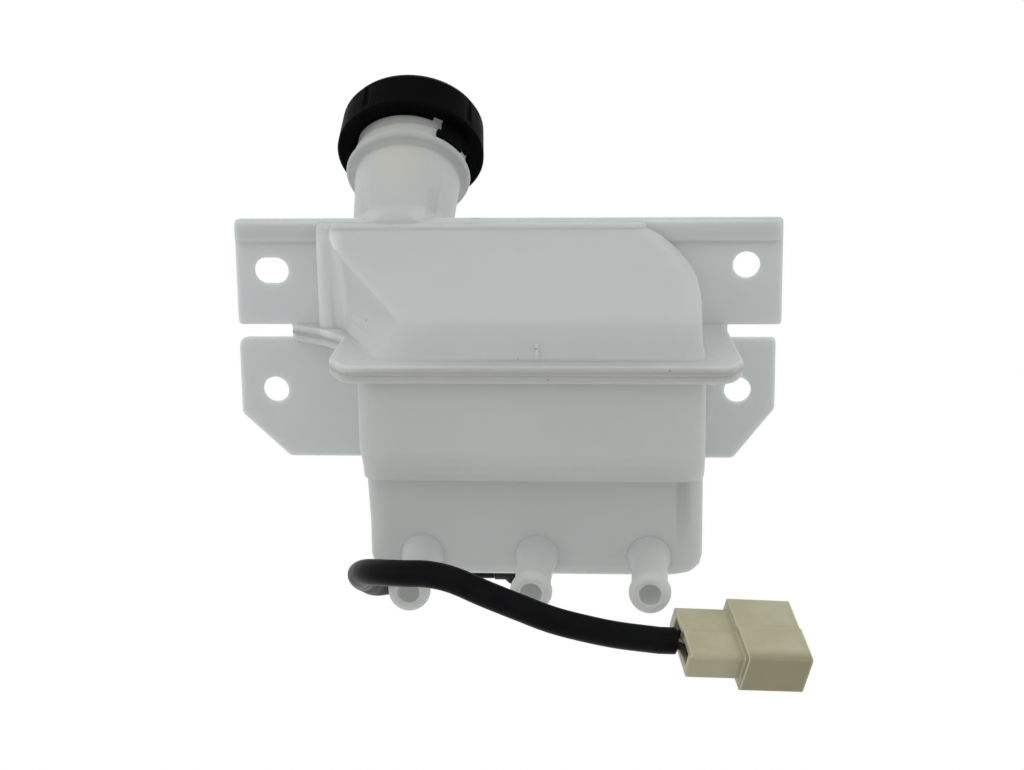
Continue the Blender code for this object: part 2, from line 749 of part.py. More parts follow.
def nipple_outer(x):
    """Flared root, slim barrel and a rounded bead at the tip."""
    tip = NIPPLE_LONG
    bead = NIPPLE_BEAD
    barrel = NIPPLE_RADIUS
    root = NIPPLE_ROOT
    profile = [
        (0.0, -0.0045), (root - 0.0008, -0.0045), (root, -0.0005), (root, 0.0008),
        (root - 0.0006, 0.0026), (barrel + 0.0004, 0.0052), (barrel, 0.0085),
        (barrel, tip - 0.0065), (bead - 0.0002, tip - 0.0040), (bead, tip - 0.0028),
        (bead - 0.0004, tip - 0.0010), (bead - 0.0014, tip), (0.0, tip),
    ]
    return finish("nipple", turned(profile, 28), frame=nipple_frame(x))


def nipple_bore(x):
    inside = -WALL - 0.0015
    tip = NIPPLE_LONG + 0.001
    return finish("bore", rod(NIPPLE_BORE, inside, tip, 24), frame=nipple_frame(x))


def baffle(x):
    """Wall that keeps a share of the fluid for each nipple."""
    half = BAFFLE_THICK / 2.0
    back = -WALL * 0.5
    front = -LOWER_BACKSET + WALL * 0.5
    low = BOTTOM_Z + WALL * 0.5
    cut = BOTTOM_ROUND * 0.6
    outline = [(back, low), (back, BAFFLE_TOP_Z), (front, BAFFLE_TOP_Z), (front, low + cut),
               (front + cut, low)]
    return finish("baffle", along_x(outline, x - half, x + half))


def stem():
    """Well for the reed switch, closed at the top and staked over the float's stop ring."""
    floor = BOTTOM_Z + WALL
    stake = STEM_SHOULDER_Z + STOP_THICK + 2.0 * GAP
    profile = [
        (0.0, floor - WALL * 0.5), (STEM_RADIUS + 0.0015, floor - WALL * 0.5),
        (STEM_RADIUS + 0.0015, floor + FLOAT_PAD), (STEM_RADIUS, floor + FLOAT_PAD + 0.0002),
        (STEM_RADIUS, STEM_SHOULDER_Z), (STEM_TIP_RADIUS, STEM_SHOULDER_Z),
        (STEM_TIP_RADIUS, stake), (STEM_HEAD_RADIUS, stake),
        (STEM_HEAD_RADIUS, stake + STEM_HEAD_TALL * 0.6),
        (STEM_HEAD_RADIUS - 0.0010, stake + STEM_HEAD_TALL), (0.0, stake + STEM_HEAD_TALL),
    ]
    return finish("stem", turned(profile, 28), frame=stem_frame())


def stem_bore():
    top = STEM_SHOULDER_Z - STEM_ROOF
    return finish("stem_bore", rod(STEM_BORE, BOTTOM_Z - 0.001, top, 24), frame=stem_frame())


def build_lower_tank(mat):
    high = SEAM_Z - GAP / 2.0
    tank = lower_outer()
    nipples = [nipple_outer(x) for x in NIPPLE_X]
    combine(tank, [flange(high, SEAM_Z - FLANGE_HALF), lower_plate()] + nipples, "UNION")
    combine(tank, [half_space("behind", y=(0.0, 0.2)), half_space("above", z=(high, 0.2)),
                   lower_cavity()], "DIFFERENCE")
    middles = [(a + b) / 2.0 for a, b in zip(NIPPLE_X, NIPPLE_X[1:])]
    combine(tank, [baffle(x) for x in middles] + [stem()], "UNION")
    bores = [nipple_bore(x) for x in NIPPLE_X] + [stem_bore()]
    holes = [plate_hole(HOLE_LOWER_LEFT), plate_hole(HOLE_LOWER_RIGHT)]
    combine(tank, bores + holes, "DIFFERENCE")
    return name_piece(tank, "lower_tank", mat)


# Cap and what it carries

def seal_s():
    return NECK_TOP + GAP


def disc_s():
    return seal_s() + SEAL_THICK + GAP


def crown_s():
    """Underside of the cap's crown."""
    return disc_s() + DISC_THICK + GAP


def grip_cutter(index):
    """Shallow upright groove that breaks the cap's edge into wide grip pads."""
    top = crown_s() + CAP_CROWN - CAP_RIM_S
    angle = CAP_GRIP_TURN + 2.0 * math.pi * index / CAP_GRIPS
    half = CAP_GRIP_WIDE / 2.0
    deep = CAP_RADIUS - CAP_GRIP_DEEP
    far = CAP_RADIUS + 0.003
    outline = [(deep, -half * 0.6), (far, -half * 1.6), (far, half * 1.6), (deep, half * 0.6)]
    turn = Matrix.Rotation(angle, 4, "Z")
    bm = flat_prism(outline, 0.0030, top + 0.002)
    return finish("grip", bm, frame=neck_frame(CAP_RIM_S) @ turn)


def build_cap_shell(mat):
    under = crown_s() - CAP_RIM_S
    top = under + CAP_CROWN
    profile = [
        (0.0, under), (CAP_BORE - 0.0010, under), (CAP_BORE, under - 0.0010),
        (CAP_BORE, 0.0010), (CAP_BORE + 0.0008, 0.0), (CAP_RADIUS - 0.0008, 0.0),
        (CAP_RADIUS, 0.0008), (CAP_TOP_RADIUS + 0.0003, top - CAP_EDGE),
        (CAP_TOP_RADIUS - CAP_EDGE * 0.3, top - CAP_EDGE * 0.3),
        (CAP_TOP_RADIUS - CAP_EDGE, top), (0.0, top),
    ]
    cap = finish("cap_shell", turned(profile, 64), mat, neck_frame(CAP_RIM_S))
    combine(cap, [grip_cutter(i) for i in range(CAP_GRIPS)], "DIFFERENCE")
    return cap


def build_cap_diaphragm(mat):
    """Rubber seal: a flat rim on the neck's mouth and a pleated cup that hangs in it."""
    rim = NECK_RADIUS - 0.0002
    low = 0.0
    high = SEAL_THICK
    wall = SEAL_WALL
    folds = 3
    outer = [(rim, high), (rim, low)]
    inner = [(rim, high)]
    radius = BELLOWS_RADIUS
    outer.append((radius, low))
    step = BELLOWS_DEEP / (2 * folds)
    for k in range(2 * folds):
        narrow = BELLOWS_FOLD if k % 2 == 0 else 0.0
        outer.append((radius - narrow, low - step * (k + 1)))
    outer.append((0.0, low - BELLOWS_DEEP))
    inner = [(0.0, low - BELLOWS_DEEP + wall)]
    for k in reversed(range(2 * folds)):
        narrow = BELLOWS_FOLD if k % 2 == 0 else 0.0
        drop = step * (k + 1) if k < 2 * folds - 1 else BELLOWS_DEEP - wall
        inner.append((radius - narrow - wall, low - drop))
    inner.append((radius - wall, high))
    bm = turned(outer + inner, 36, closed=True)
    return finish("cap_diaphragm", bm, mat, neck_frame(seal_s()))


def build_cap_disc(mat):
    """Slip ring between the rubber and the turning crown, with its breather hole."""
    outer = NECK_RADIUS - 0.0004
    bm = ring_solid(0.0030, outer, 0.0, DISC_THICK, 40)
    return finish("cap_disc", bm, mat, neck_frame(disc_s()))


def strainer_slot(index):
    """Window in the strainer's wall."""
    low = -STRAINER_LONG + STRAINER_SLOT_MARGIN
    high = -STRAINER_SLOT_MARGIN
    half = STRAINER_SLOT_WIDE / 2.0
    near = STRAINER_RADIUS - 3.0 * STRAINER_WALL
    far = STRAINER_RADIUS + STRAINER_WALL
    outline = [(near, -half), (far, -half), (far, half), (near, half)]
    turn = Matrix.Rotation(2.0 * math.pi * index / STRAINER_SLOTS, 4, "Z")
    frame = neck_frame(NECK_TOP - STRAINER_SEAT + GAP) @ turn
    return finish("slot", flat_prism(outline, low, high), frame=frame)


def build_strainer(mat):
    seat = NECK_TOP - STRAINER_SEAT + GAP
    rim = strainer_rim()
    tall = STRAINER_SEAT - 2.0 * GAP
    tube = STRAINER_RADIUS
    inner = tube - STRAINER_WALL
    profile = [
        (0.0, -STRAINER_LONG), (tube - 0.0008, -STRAINER_LONG), (tube, -STRAINER_LONG + 0.0008),
        (tube, 0.0), (rim, 0.0), (rim, tall), (inner, tall),
        (inner, -STRAINER_LONG + STRAINER_WALL), (0.0, -STRAINER_LONG + STRAINER_WALL),
    ]
    strainer = finish("strainer", turned(profile, 32), mat, neck_frame(seat))
    combine(strainer, [strainer_slot(i) for i in range(STRAINER_SLOTS)], "DIFFERENCE")
    return strainer


# Float switch

def float_low_z():
    return BOTTOM_Z + WALL + FLOAT_PAD + 2.0 * GAP


def build_float_body(mat):
    inner = STEM_RADIUS + RUN_GAP
    pocket = MAGNET_RADIUS + GAP
    deep = MAGNET_TALL + 2.0 * GAP
    soft = 0.0012
    profile = [
        (pocket, 0.0), (FLOAT_RADIUS - soft, 0.0), (FLOAT_RADIUS, soft),
        (FLOAT_RADIUS, FLOAT_TALL - soft), (FLOAT_RADIUS - soft, FLOAT_TALL),
        (inner, FLOAT_TALL), (inner, deep), (pocket, deep),
    ]
    bm = turned(profile, 36, closed=True)
    return finish("float_body", bm, mat, stem_frame(float_low_z()))


def build_float_magnet(mat):
    inner = STEM_RADIUS + RUN_GAP
    bm = ring_solid(inner, MAGNET_RADIUS, GAP, GAP + MAGNET_TALL, 32)
    return finish("float_magnet", bm, mat, stem_frame(float_low_z()))


def build_float_stop(mat):
    bm = ring_solid(STEM_TIP_RADIUS + GAP, STOP_RADIUS, GAP, GAP + STOP_THICK, 28)
    return finish("float_stop", bm, mat, stem_frame(STEM_SHOULDER_Z))


def build_reed_switch(mat):
    r = REED_RADIUS
    half = REED_LONG / 2.0
    profile = [
        (0.0, -half), (r * 0.6, -half + r * 0.2), (r, -half + r), (r, half - r),
        (r * 0.6, half - r * 0.2), (0.0, half),
    ]
    frame = Matrix.Translation((STEM_X - REED_OFFSET, STEM_Y, REED_Z))
    return finish("reed_switch", turned(profile, 16), mat, frame)


def build_curve(name, points, radius, mat, resolution):
    curve = bpy.data.curves.new(name, "CURVE")
    curve.dimensions = "3D"
    curve.bevel_depth = radius
    curve.bevel_resolution = resolution
    curve.use_fill_caps = True
    curve.twist_mode = "MINIMUM"
    line = curve.splines.new("POLY")
    line.points.add(len(points) - 1)
    for point, place in zip(line.points, points):
        point.co = (*place, 1.0)
    curve.materials.append(mat)
    obj = bpy.data.objects.new(name, curve)
    bpy.context.scene.collection.objects.link(obj)
    return obj


def build_reed_leads(mat):
    """One leg goes straight down from the glass, the other turns over its top and back."""
    x = STEM_X - REED_OFFSET
    end = BOTTOM_Z + HOLDER_SPIGOT_LONG + GAP
    low = REED_Z - REED_LONG / 2.0 - GAP
    build_curve("reed_lead_a", [(x, STEM_Y, low), (x, STEM_Y, (low + end) / 2), (x, STEM_Y, end)],
                REED_LEAD_RADIUS, mat, 2)
    top = REED_Z + REED_LONG / 2.0 + GAP
    side = STEM_X + REED_RETURN
    reach = (side - x) / 2.0
    points = [(x, STEM_Y, top), (x, STEM_Y, top + REED_LOOP * 0.5)]
    for k in range(1, 6):
        a = math.pi * k / 6.0
        rise = REED_LOOP * 0.5 + reach * math.sin(a)
        points.append((x + reach * (1.0 - math.cos(a)), STEM_Y, top + rise))
    points += [(side, STEM_Y, top + REED_LOOP * 0.5), (side, STEM_Y, REED_Z), (side, STEM_Y, end)]
    build_curve("reed_lead_b", points, REED_LEAD_RADIUS, mat, 2)


def gland_z():
    """Height of the lead's exit, midway down the holder."""
    return BOTTOM_Z - GAP - HOLDER_DEEP / 2.0


def build_switch_holder(mat):
    """Plug that closes the well from below, with the lead's gland on its left side."""
    foot = BOTTOM_Z - GAP - HOLDER_DEEP
    spigot = STEM_BORE - GAP
    groove = spigot - RING_THICK * 0.55
    base = BOTTOM_Z - GAP
    ring_low = BOTTOM_Z + 0.0010
    profile = [
        (0.0, foot), (HOLDER_RADIUS - 0.0010, foot), (HOLDER_RADIUS, foot + 0.0010),
        (HOLDER_RADIUS, base), (spigot, base), (spigot, ring_low), (groove, ring_low),
        (groove, ring_low + RING_THICK), (spigot, ring_low + RING_THICK),
        (spigot, BOTTOM_Z + HOLDER_SPIGOT_LONG - 0.0004),
        (spigot - 0.0004, BOTTOM_Z + HOLDER_SPIGOT_LONG), (0.0, BOTTOM_Z + HOLDER_SPIGOT_LONG),
    ]
    holder = finish("switch_holder", turned(profile, 32), mat, stem_frame())
    turn = Matrix.Rotation(math.radians(-90.0), 4, "Y")
    frame = Matrix.Translation((STEM_X, STEM_Y, gland_z())) @ turn
    combine(holder, [finish("gland", rod(GLAND_RADIUS, 0.0, GLAND_REACH, 24), frame=frame)], "UNION")
    return holder


def build_holder_ring(mat):
    """Sealing ring in the spigot's groove."""
    spigot = STEM_BORE - GAP
    inner = spigot - RING_THICK * 0.55 + GAP / 2.0
    low = BOTTOM_Z + 0.0010 + GAP / 2.0
    high = low + RING_THICK - GAP
    outer = STEM_BORE - GAP / 3.0
    bm = ring_solid(inner, outer, low, high, 24)
    return finish("holder_ring", bm, mat, stem_frame())


# Lead and connector

def smooth_route(points, count):
    """Evenly spaced points on a Catmull-Rom curve through the route."""
    ends = [points[0] * 2.0 - points[1]] + points + [points[-1] * 2.0 - points[-2]]
    fine = []
    for a, b, c, d in zip(ends, ends[1:], ends[2:], ends[3:]):
        for k in range(24):
            t = k / 24.0
            fine.append(0.5 * (2 * b + (c - a) * t + (2 * a - 5 * b + 4 * c - d) * t * t
                               + (3 * b - a - 3 * c + d) * t ** 3))
    fine.append(points[-1])
    lengths = [0.0]
    for p, q in zip(fine, fine[1:]):
        lengths.append(lengths[-1] + (q - p).length)
    picked = []
    i = 0
    for k in range(count):
        want = lengths[-1] * k / (count - 1)
        while i < len(fine) - 2 and lengths[i + 1] < want:
            i += 1
        part = (want - lengths[i]) / (lengths[i + 1] - lengths[i])
        picked.append(fine[i].lerp(fine[i + 1], min(1.0, max(0.0, part))))
    return picked


def build_sleeve(mat):
    start = Vector((STEM_X - GLAND_REACH - GAP, STEM_Y, gland_z()))
    straight = start - Vector((GLAND_STRAIGHT, 0.0, 0.0))
    end = plug_frame(-WIRE_SHOWN).translation
    before = plug_frame(-WIRE_SHOWN - SLEEVE_STRAIGHT).translation
    route = [straight] + [Vector(p) for p in SLEEVE_ROUTE] + [before]
    points = [start] + smooth_route(route, SLEEVE_POINTS - 2) + [end]
    return build_curve("lead_sleeve", points, SLEEVE_DIAMETER / 2.0, mat, 2)


def build_wires(mat):
    """Two wires spread from the sleeve's mouth to the crimps in the connector."""
    for name, side in (("wire_a", 1.0), ("wire_b", -1.0)):
        points = []
        for along, across in ((-WIRE_SHOWN + GAP, WIRE_START), (-0.0034, WIRE_START),
                              (-0.0018, 0.0030), (0.0000, 0.0046), (0.0014, WIRE_PITCH / 2.0),
                              (0.0040, WIRE_PITCH / 2.0), (WIRE_END, WIRE_PITCH / 2.0)):
            points.append(plug_frame() @ Vector((along, side * across, 0.0)))
        build_curve(name, points, WIRE_RADIUS, mat, 2)


def housing_section(wide, tall, step):
    """Outline in Y and Z with one half of the top face a little lower than the other."""
    half = wide / 2.0
    top = tall / 2.0
    radius = HOOD_CORNER
    corners = [
        (-half, -top, radius), (half, -top, radius), (half, top - step, radius),
        (step, top - step, 0.0004), (0.0, top, 0.0005), (-half, top, radius),
    ]
    return rounded(corners, 3)


def along_x(outline, low, high):
    return loft([[(x, p[0], p[1]) for p in outline] for x in (low, high)])


def box_x(x_low, x_high, y_mid, wide, tall):
    half = wide / 2.0
    top = tall / 2.0
    outline = [(y_mid - half, -top), (y_mid + half, -top), (y_mid + half, top), (y_mid - half, top)]
    return along_x(outline, x_low, x_high)


def build_connector(mat):
    long_all = REAR_LONG + HOOD_LONG
    frame = plug_frame()
    body = finish("connector_housing", along_x(housing_section(REAR_WIDE, REAR_TALL, HOOD_STEP),
                                               0.0, REAR_LONG + HOOD_WALL), mat, frame)
    hood = finish("hood", along_x(housing_section(HOOD_WIDE, HOOD_TALL, HOOD_STEP),
                                  REAR_LONG, long_all), frame=frame)
    combine(body, [hood], "UNION")
    mouth_wide = HOOD_WIDE - 2.0 * HOOD_WALL
    mouth_tall = HOOD_TALL - 2.0 * HOOD_WALL - HOOD_STEP
    mouth = finish("mouth", box_x(REAR_LONG + HOOD_FLOOR, long_all + 0.002, 0.0,
                                  mouth_wide, mouth_tall), frame=frame)
    wide = BLADE_WIDE + 2.0 * CHAMBER_ROOM
    tall = 2.0 * (WIRE_RADIUS + GAP + CRIMP_WALL + CHAMBER_ROOM)
    cuts = [mouth]
    for side in (-1.0, 1.0):
        cuts.append(finish("chamber", box_x(-0.001, REAR_LONG + HOOD_FLOOR + 0.001,
                                            side * WIRE_PITCH / 2.0, wide, tall), frame=frame))
    combine(body, cuts, "DIFFERENCE")
    return body


def build_terminal(name, side, mat):
    """Flat blade with a tapered tip, ahead of an open crimp barrel round the wire."""
    y = side * WIRE_PITCH / 2.0
    blade_from = CRIMP_FROM + CRIMP_LONG
    tip = REAR_LONG + HOOD_FLOOR + BLADE_REACH
    half = BLADE_WIDE / 2.0
    outline = [
        (blade_from, y - half), (tip - BLADE_TIP, y - half), (tip, y - half + BLADE_TIP),
        (tip, y + half - BLADE_TIP), (tip - BLADE_TIP, y + half), (blade_from, y + half),
    ]
    thick = BLADE_THICK / 2.0
    frame = plug_frame()
    blade = finish(name, flat_prism(outline, -thick, thick), mat, frame, smooth=False)
    inner = WIRE_RADIUS + GAP
    outer = inner + CRIMP_WALL
    deep = BLADE_THICK
    trough = [
        (y - outer, inner), (y - outer, -outer), (y + outer, -outer), (y + outer, inner),
        (y + inner, inner), (y + inner, -inner), (y - inner, -inner), (y - inner, inner),
    ]
    crimp = finish("crimp", along_x(trough, CRIMP_FROM, blade_from + deep), frame=frame)
    combine(blade, [crimp], "UNION")
    return blade


# Assembly

def build_model():
    clear_scene()
    poly = material("translucent_polypropylene", (0.46, 0.49, 0.48), 0.42)
    cap_black = material("cap_polypropylene", (0.012, 0.012, 0.013), 0.45)
    rubber = material("black_rubber", (0.02, 0.02, 0.02), 0.7)
    nylon = material("natural_nylon", (0.61, 0.58, 0.40), 0.4)
    filter_white = material("strainer_white", (0.75, 0.76, 0.74), 0.5)
    float_tan = material("float_foam", (0.09, 0.09, 0.085), 0.75)
    ferrite = material("ferrite_magnet", (0.03, 0.03, 0.033), 0.5)
    glass = material("reed_glass", (0.35, 0.5, 0.42), 0.1)
    tinned = material("tinned_metal", (0.62, 0.60, 0.56), 0.3, 1.0)
    holder_black = material("holder_nylon", (0.015, 0.015, 0.016), 0.45)
    sleeve_pvc = material("sleeve_pvc", (0.011, 0.011, 0.013), 0.35)
    build_upper_tank(poly)
    build_lower_tank(poly)
    build_cap_shell(cap_black)
    build_cap_diaphragm(rubber)
    build_cap_disc(filter_white)
    build_strainer(filter_white)
    build_float_body(float_tan)
    build_float_magnet(ferrite)
    build_float_stop(filter_white)
    build_reed_switch(glass)
    build_reed_leads(tinned)
    build_switch_holder(holder_black)
    build_holder_ring(rubber)
    build_sleeve(sleeve_pvc)
    build_wires(holder_black)
    build_connector(nylon)
    build_terminal("terminal_a", 1.0, tinned)
    build_terminal("terminal_b", -1.0, tinned)


build_model()
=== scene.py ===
"""Finish and stage for a brake fluid reservoir: moulded tank, cap, float switch and its lead."""
import math

import bmesh
import bpy
from bpy.props import FloatProperty, FloatVectorProperty, PointerProperty
from mathutils import Matrix, Vector


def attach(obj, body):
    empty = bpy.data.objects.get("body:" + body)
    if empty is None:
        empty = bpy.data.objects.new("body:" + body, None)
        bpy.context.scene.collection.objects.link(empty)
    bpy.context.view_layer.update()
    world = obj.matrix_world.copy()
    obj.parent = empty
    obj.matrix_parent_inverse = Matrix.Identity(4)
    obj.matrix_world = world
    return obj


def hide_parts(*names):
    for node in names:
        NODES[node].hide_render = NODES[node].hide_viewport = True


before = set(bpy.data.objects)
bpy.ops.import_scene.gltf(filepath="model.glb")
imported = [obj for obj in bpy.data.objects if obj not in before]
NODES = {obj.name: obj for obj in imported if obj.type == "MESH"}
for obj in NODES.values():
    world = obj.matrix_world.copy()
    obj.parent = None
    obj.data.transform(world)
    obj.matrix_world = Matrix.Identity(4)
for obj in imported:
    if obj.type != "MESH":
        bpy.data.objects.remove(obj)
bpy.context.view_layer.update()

bl_info = {
    "name": "Fluid Reservoir Finish",
    "version": (1, 0, 0),
    "blender": (4, 5, 0),
    "location": "View3D > Sidebar > Reservoir",
    "description": "Dresses the packed reservoir with moulded plastic, threads, a lead and a stage",
    "category": "Object",
}

# Sizes that the solids were made with, in metres
SEAM_Z = -0.0229
NECK_BASE = Vector((-0.0384, 0.0120, 0.0130))
NECK_TILT = math.radians(49.4)
NECK_RADIUS = 0.0193
CAP_BORE = 0.0216
STEM_X = 0.0055
STEM_Y = -0.0200
GLAND_REACH = 0.0097
GLAND_Z = -0.1049
GAP = 0.0003
PLUG_AT = Vector((0.0597, -0.1004, -0.1020))
PLUG_YAW = math.radians(15.2)
PLUG_PITCH = math.radians(-6.95)
PLUG_ROLL = math.radians(22.3)
WIRE_SHOWN = 0.0020
WIRE_START = 0.0018
WIRE_PITCH = 0.0105
WIRE_END = 0.0075
GLAND_STRAIGHT = 0.0042
SLEEVE_STRAIGHT = 0.0050

# Middle of the sleeve, from the gland round the left nipple to the connector
SLEEVE_ROUTE = (
    (-0.0135, -0.0204, -0.1052), (-0.0225, -0.0222, -0.1061), (-0.0320, -0.0266, -0.1069),
    (-0.0395, -0.0345, -0.1061), (-0.0437, -0.0450, -0.1032), (-0.0452, -0.0560, -0.0982),
    (-0.0450, -0.0670, -0.0936), (-0.0434, -0.0780, -0.0888), (-0.0398, -0.0878, -0.0848),
    (-0.0340, -0.0953, -0.0824), (-0.0265, -0.1001, -0.0810), (-0.0185, -0.1024, -0.0804),
    (-0.0105, -0.1037, -0.0818), (-0.0010, -0.1050, -0.0855), (0.0095, -0.1058, -0.0895),
    (0.0200, -0.1068, -0.0932), (0.0305, -0.1067, -0.0960), (0.0405, -0.1056, -0.0984),
)


# Properties that a user would change

class TankFinish(bpy.types.PropertyGroup):
    upper_color: FloatVectorProperty(
        name="Upper Half", description="Colour of the upper half", subtype="COLOR",
        size=3, default=(0.392, 0.412, 0.409), min=0.0, max=1.0)
    lower_color: FloatVectorProperty(
        name="Lower Half", description="Colour of the lower half", subtype="COLOR",
        size=3, default=(0.395, 0.405, 0.398), min=0.0, max=1.0)
    # Partly the thin plate's own tone, partly painted light from behind shining through it
    thin_tone_and_backlight_color: FloatVectorProperty(
        name="Thin Plate", description="Colour where only the thin plate holds light back",
        subtype="COLOR", size=3, default=(0.432, 0.452, 0.466), min=0.0, max=1.0)
    # Painted highlight: the lighter colour given to the rounded edges
    painted_edge_highlight: FloatVectorProperty(
        name="Edges", description="Colour of the thin rounded edges", subtype="COLOR",
        size=3, default=(0.440, 0.460, 0.458), min=0.0, max=1.0)
    warm_color: FloatVectorProperty(
        name="Warm Tint", description="Tint where the strainer shows through the neck",
        subtype="COLOR", size=3, default=(0.430, 0.420, 0.350), min=0.0, max=1.0)
    # Partly the heated plastic's tint, partly painted shade on the flange, which faces down
    seam_tint_and_flange_shade: FloatVectorProperty(
        name="Seam Tint", description="Tint of the plastic that the weld heated", subtype="COLOR",
        size=3, default=(0.268, 0.266, 0.257), min=0.0, max=1.0)
    # Painted light: lighter colour on the box's left corner and on the plate's top band, where light
    # falls
    painted_light_color: FloatVectorProperty(
        name="Pale Tint", description="Tint where the wall is thinnest", subtype="COLOR",
        size=3, default=(0.66, 0.69, 0.69), min=0.0, max=1.0)
    # Painted shade: darker colour on the collar and on the neck in the cap's shadow
    painted_shade_color: FloatVectorProperty(
        name="Thick Tint", description="Tint where the wall is thickest", subtype="COLOR",
        size=3, default=(0.235, 0.245, 0.240), min=0.0, max=1.0)
    # Painted glow: even emission on the tank and the weld, standing in for light that passes through
    # the milky wall
    glow_color: FloatVectorProperty(
        name="Light In The Wall", description="Light that the milky wall carries round corners",
        subtype="COLOR", size=3, default=(0.100, 0.103, 0.102), min=0.0, max=1.0)
    roughness: FloatProperty(
        name="Roughness", description="How matt the tank is", default=0.46, min=0.0, max=1.0)
    scatter: FloatProperty(
        name="Scatter Depth", description="How far light travels in the wall", default=0.0075,
        min=0.0001, unit="LENGTH")


class ThreadSizes(bpy.types.PropertyGroup):
    pitch: FloatProperty(
        name="Pitch", description="Rise of the thread in one turn", default=0.0050,
        min=0.001, unit="LENGTH")
    proud: FloatProperty(
        name="Ridge Height", description="How far a ridge stands out", default=0.0018,
        min=0.0002, unit="LENGTH")
    wide: FloatProperty(
        name="Ridge Width", description="Width of a ridge at its root", default=0.0022,
        min=0.0004, unit="LENGTH")
    cap_start: FloatProperty(
        name="Cap Start", description="Height on the neck where the cap's thread starts",
        default=0.0362, unit="LENGTH")
    cap_turn: FloatProperty(
        name="Cap Turn", description="Where round the neck the cap's thread starts",
        default=math.radians(-61.0), subtype="ANGLE")
    turns: FloatProperty(
        name="Turns", description="Number of turns of each thread", default=1.5, min=0.25)


class LeadSizes(bpy.types.PropertyGroup):
    diameter: FloatProperty(
        name="Sleeve Diameter", description="Outer diameter of the sleeve", default=0.0084,
        min=0.001, unit="LENGTH")
    wire_diameter: FloatProperty(
        name="Wire Diameter", description="Outer diameter of each wire", default=0.0024,
        min=0.0005, unit="LENGTH")


class StageSettings(bpy.types.PropertyGroup):
    azimuth: FloatProperty(
        name="Azimuth", description="How far the camera stands to the right", subtype="ANGLE",
        default=math.radians(4.0))
    elevation: FloatProperty(
        name="Elevation", description="How far the camera stands above", subtype="ANGLE",
        default=math.radians(12.5))
    roll: FloatProperty(
        name="Roll", description="Tilt of the camera about its own axis", subtype="ANGLE",
        default=math.radians(-0.7))
    distance: FloatProperty(
        name="Distance", description="Camera to the point it looks at", default=0.650,
        min=0.1, unit="LENGTH")
    lens: FloatProperty(
        name="Lens", description="Focal length in millimetres on a 36 mm sensor", default=63.5)
    target: FloatVectorProperty(
        name="Target", description="Point that the camera looks at", size=3,
        default=(0.00117, 0.0, -0.0430), unit="LENGTH")
    key_light: FloatProperty(
        name="Key Light", description="Power of the large lamp over the front", default=0.95,
        unit="POWER")
    fill_light: FloatProperty(
        name="Fill", description="Strength of the light from all round", default=0.77)


# Node helpers

def feed(tree, socket, value):
    """Link a socket to this one, or set its value."""
    if isinstance(value, bpy.types.NodeSocket):
        tree.links.new(value, socket)
    elif socket.type == "RGBA":
        socket.default_value = (*tuple(value)[:3], 1.0)
    else:
        socket.default_value = value


def set_inputs(tree, node, **values):
    """Set or link a node's inputs, whose names have underscores for spaces."""
    for key, value in values.items():
        feed(tree, node.inputs[key.replace("_", " ")], value)


def add_node(tree, kind, **values):
    """New node with its own properties and its inputs."""
    node = tree.nodes.new(kind)
    for key, value in values.items():
        if key in node.bl_rna.properties:
            setattr(node, key, value)
        else:
            set_inputs(tree, node, **{key: value})
    return node


def new_group(name, outputs=("Mask",), **inputs):
    """Shader node group; a triple makes a vector input, and Normal is a vector output."""
    tree = bpy.data.node_groups.new(name, "ShaderNodeTree")
    for label, value in inputs.items():
        kind = "NodeSocketVector" if isinstance(value, tuple) else "NodeSocketFloat"
        socket = tree.interface.new_socket(name=label.replace("_", " "), in_out="INPUT",
                                           socket_type=kind)
        socket.default_value = value
    for label in outputs:
        kind = "NodeSocketVector" if label == "Normal" else "NodeSocketFloat"
        tree.interface.new_socket(name=label, in_out="OUTPUT", socket_type=kind)
    return tree, add_node(tree, "NodeGroupInput").outputs, add_node(tree, "NodeGroupOutput").inputs


def math_node(tree, operation, first, second, clamp=False):
    node = add_node(tree, "ShaderNodeMath", operation=operation, use_clamp=clamp)
    feed(tree, node.inputs[0], first)
    feed(tree, node.inputs[1], second)
    return node.outputs[0]


def vector_node(tree, operation, first, second=None):
    node = add_node(tree, "ShaderNodeVectorMath", operation=operation)
    feed(tree, node.inputs[0], first)
    if second is not None:
        feed(tree, node.inputs[1], second)
    return node.outputs


def fade_range(tree, value, low, high):
    """Smooth step from 0 at low to 1 at high."""
    return add_node(tree, "ShaderNodeMapRange", interpolation_type="SMOOTHSTEP", Value=value,
                    From_Min=low, From_Max=high).outputs["Result"]


def object_place(tree):
    return add_node(tree, "ShaderNodeTexCoord").outputs["Object"]


def noise(tree, where, scale, detail=2.0, roughness=0.5, distortion=0.0):
    return add_node(tree, "ShaderNodeTexNoise", Vector=where, Scale=scale, Detail=detail,
                    Roughness=roughness, Distortion=distortion).outputs["Fac"]


# Shader node groups

def moulded_cloud():
    """Slow change of tone where the wall is thicker or thinner, with fine flow streaks."""
    tree, given, out = new_group("Moulded Cloud", Scale=30.0, Streak=0.3)
    where = object_place(tree)
    cloud = noise(tree, where, given["Scale"], 2.0, 0.45, 0.4)
    flow = add_node(tree, "ShaderNodeMapping", Vector=where, Scale=(1.0, 1.0, 0.12),
                    Rotation=(0.1, 0.35, 0.0)).outputs["Vector"]
    fine = math_node(tree, "MULTIPLY", noise(tree, flow, 160.0, 3.0, 0.55), given["Streak"])
    rest = math_node(tree, "SUBTRACT", 1.0, given["Streak"])
    total = math_node(tree, "ADD", math_node(tree, "MULTIPLY", cloud, rest), fine)
    feed(tree, out["Mask"], fade_range(tree, total, 0.36, 0.64))
    return tree


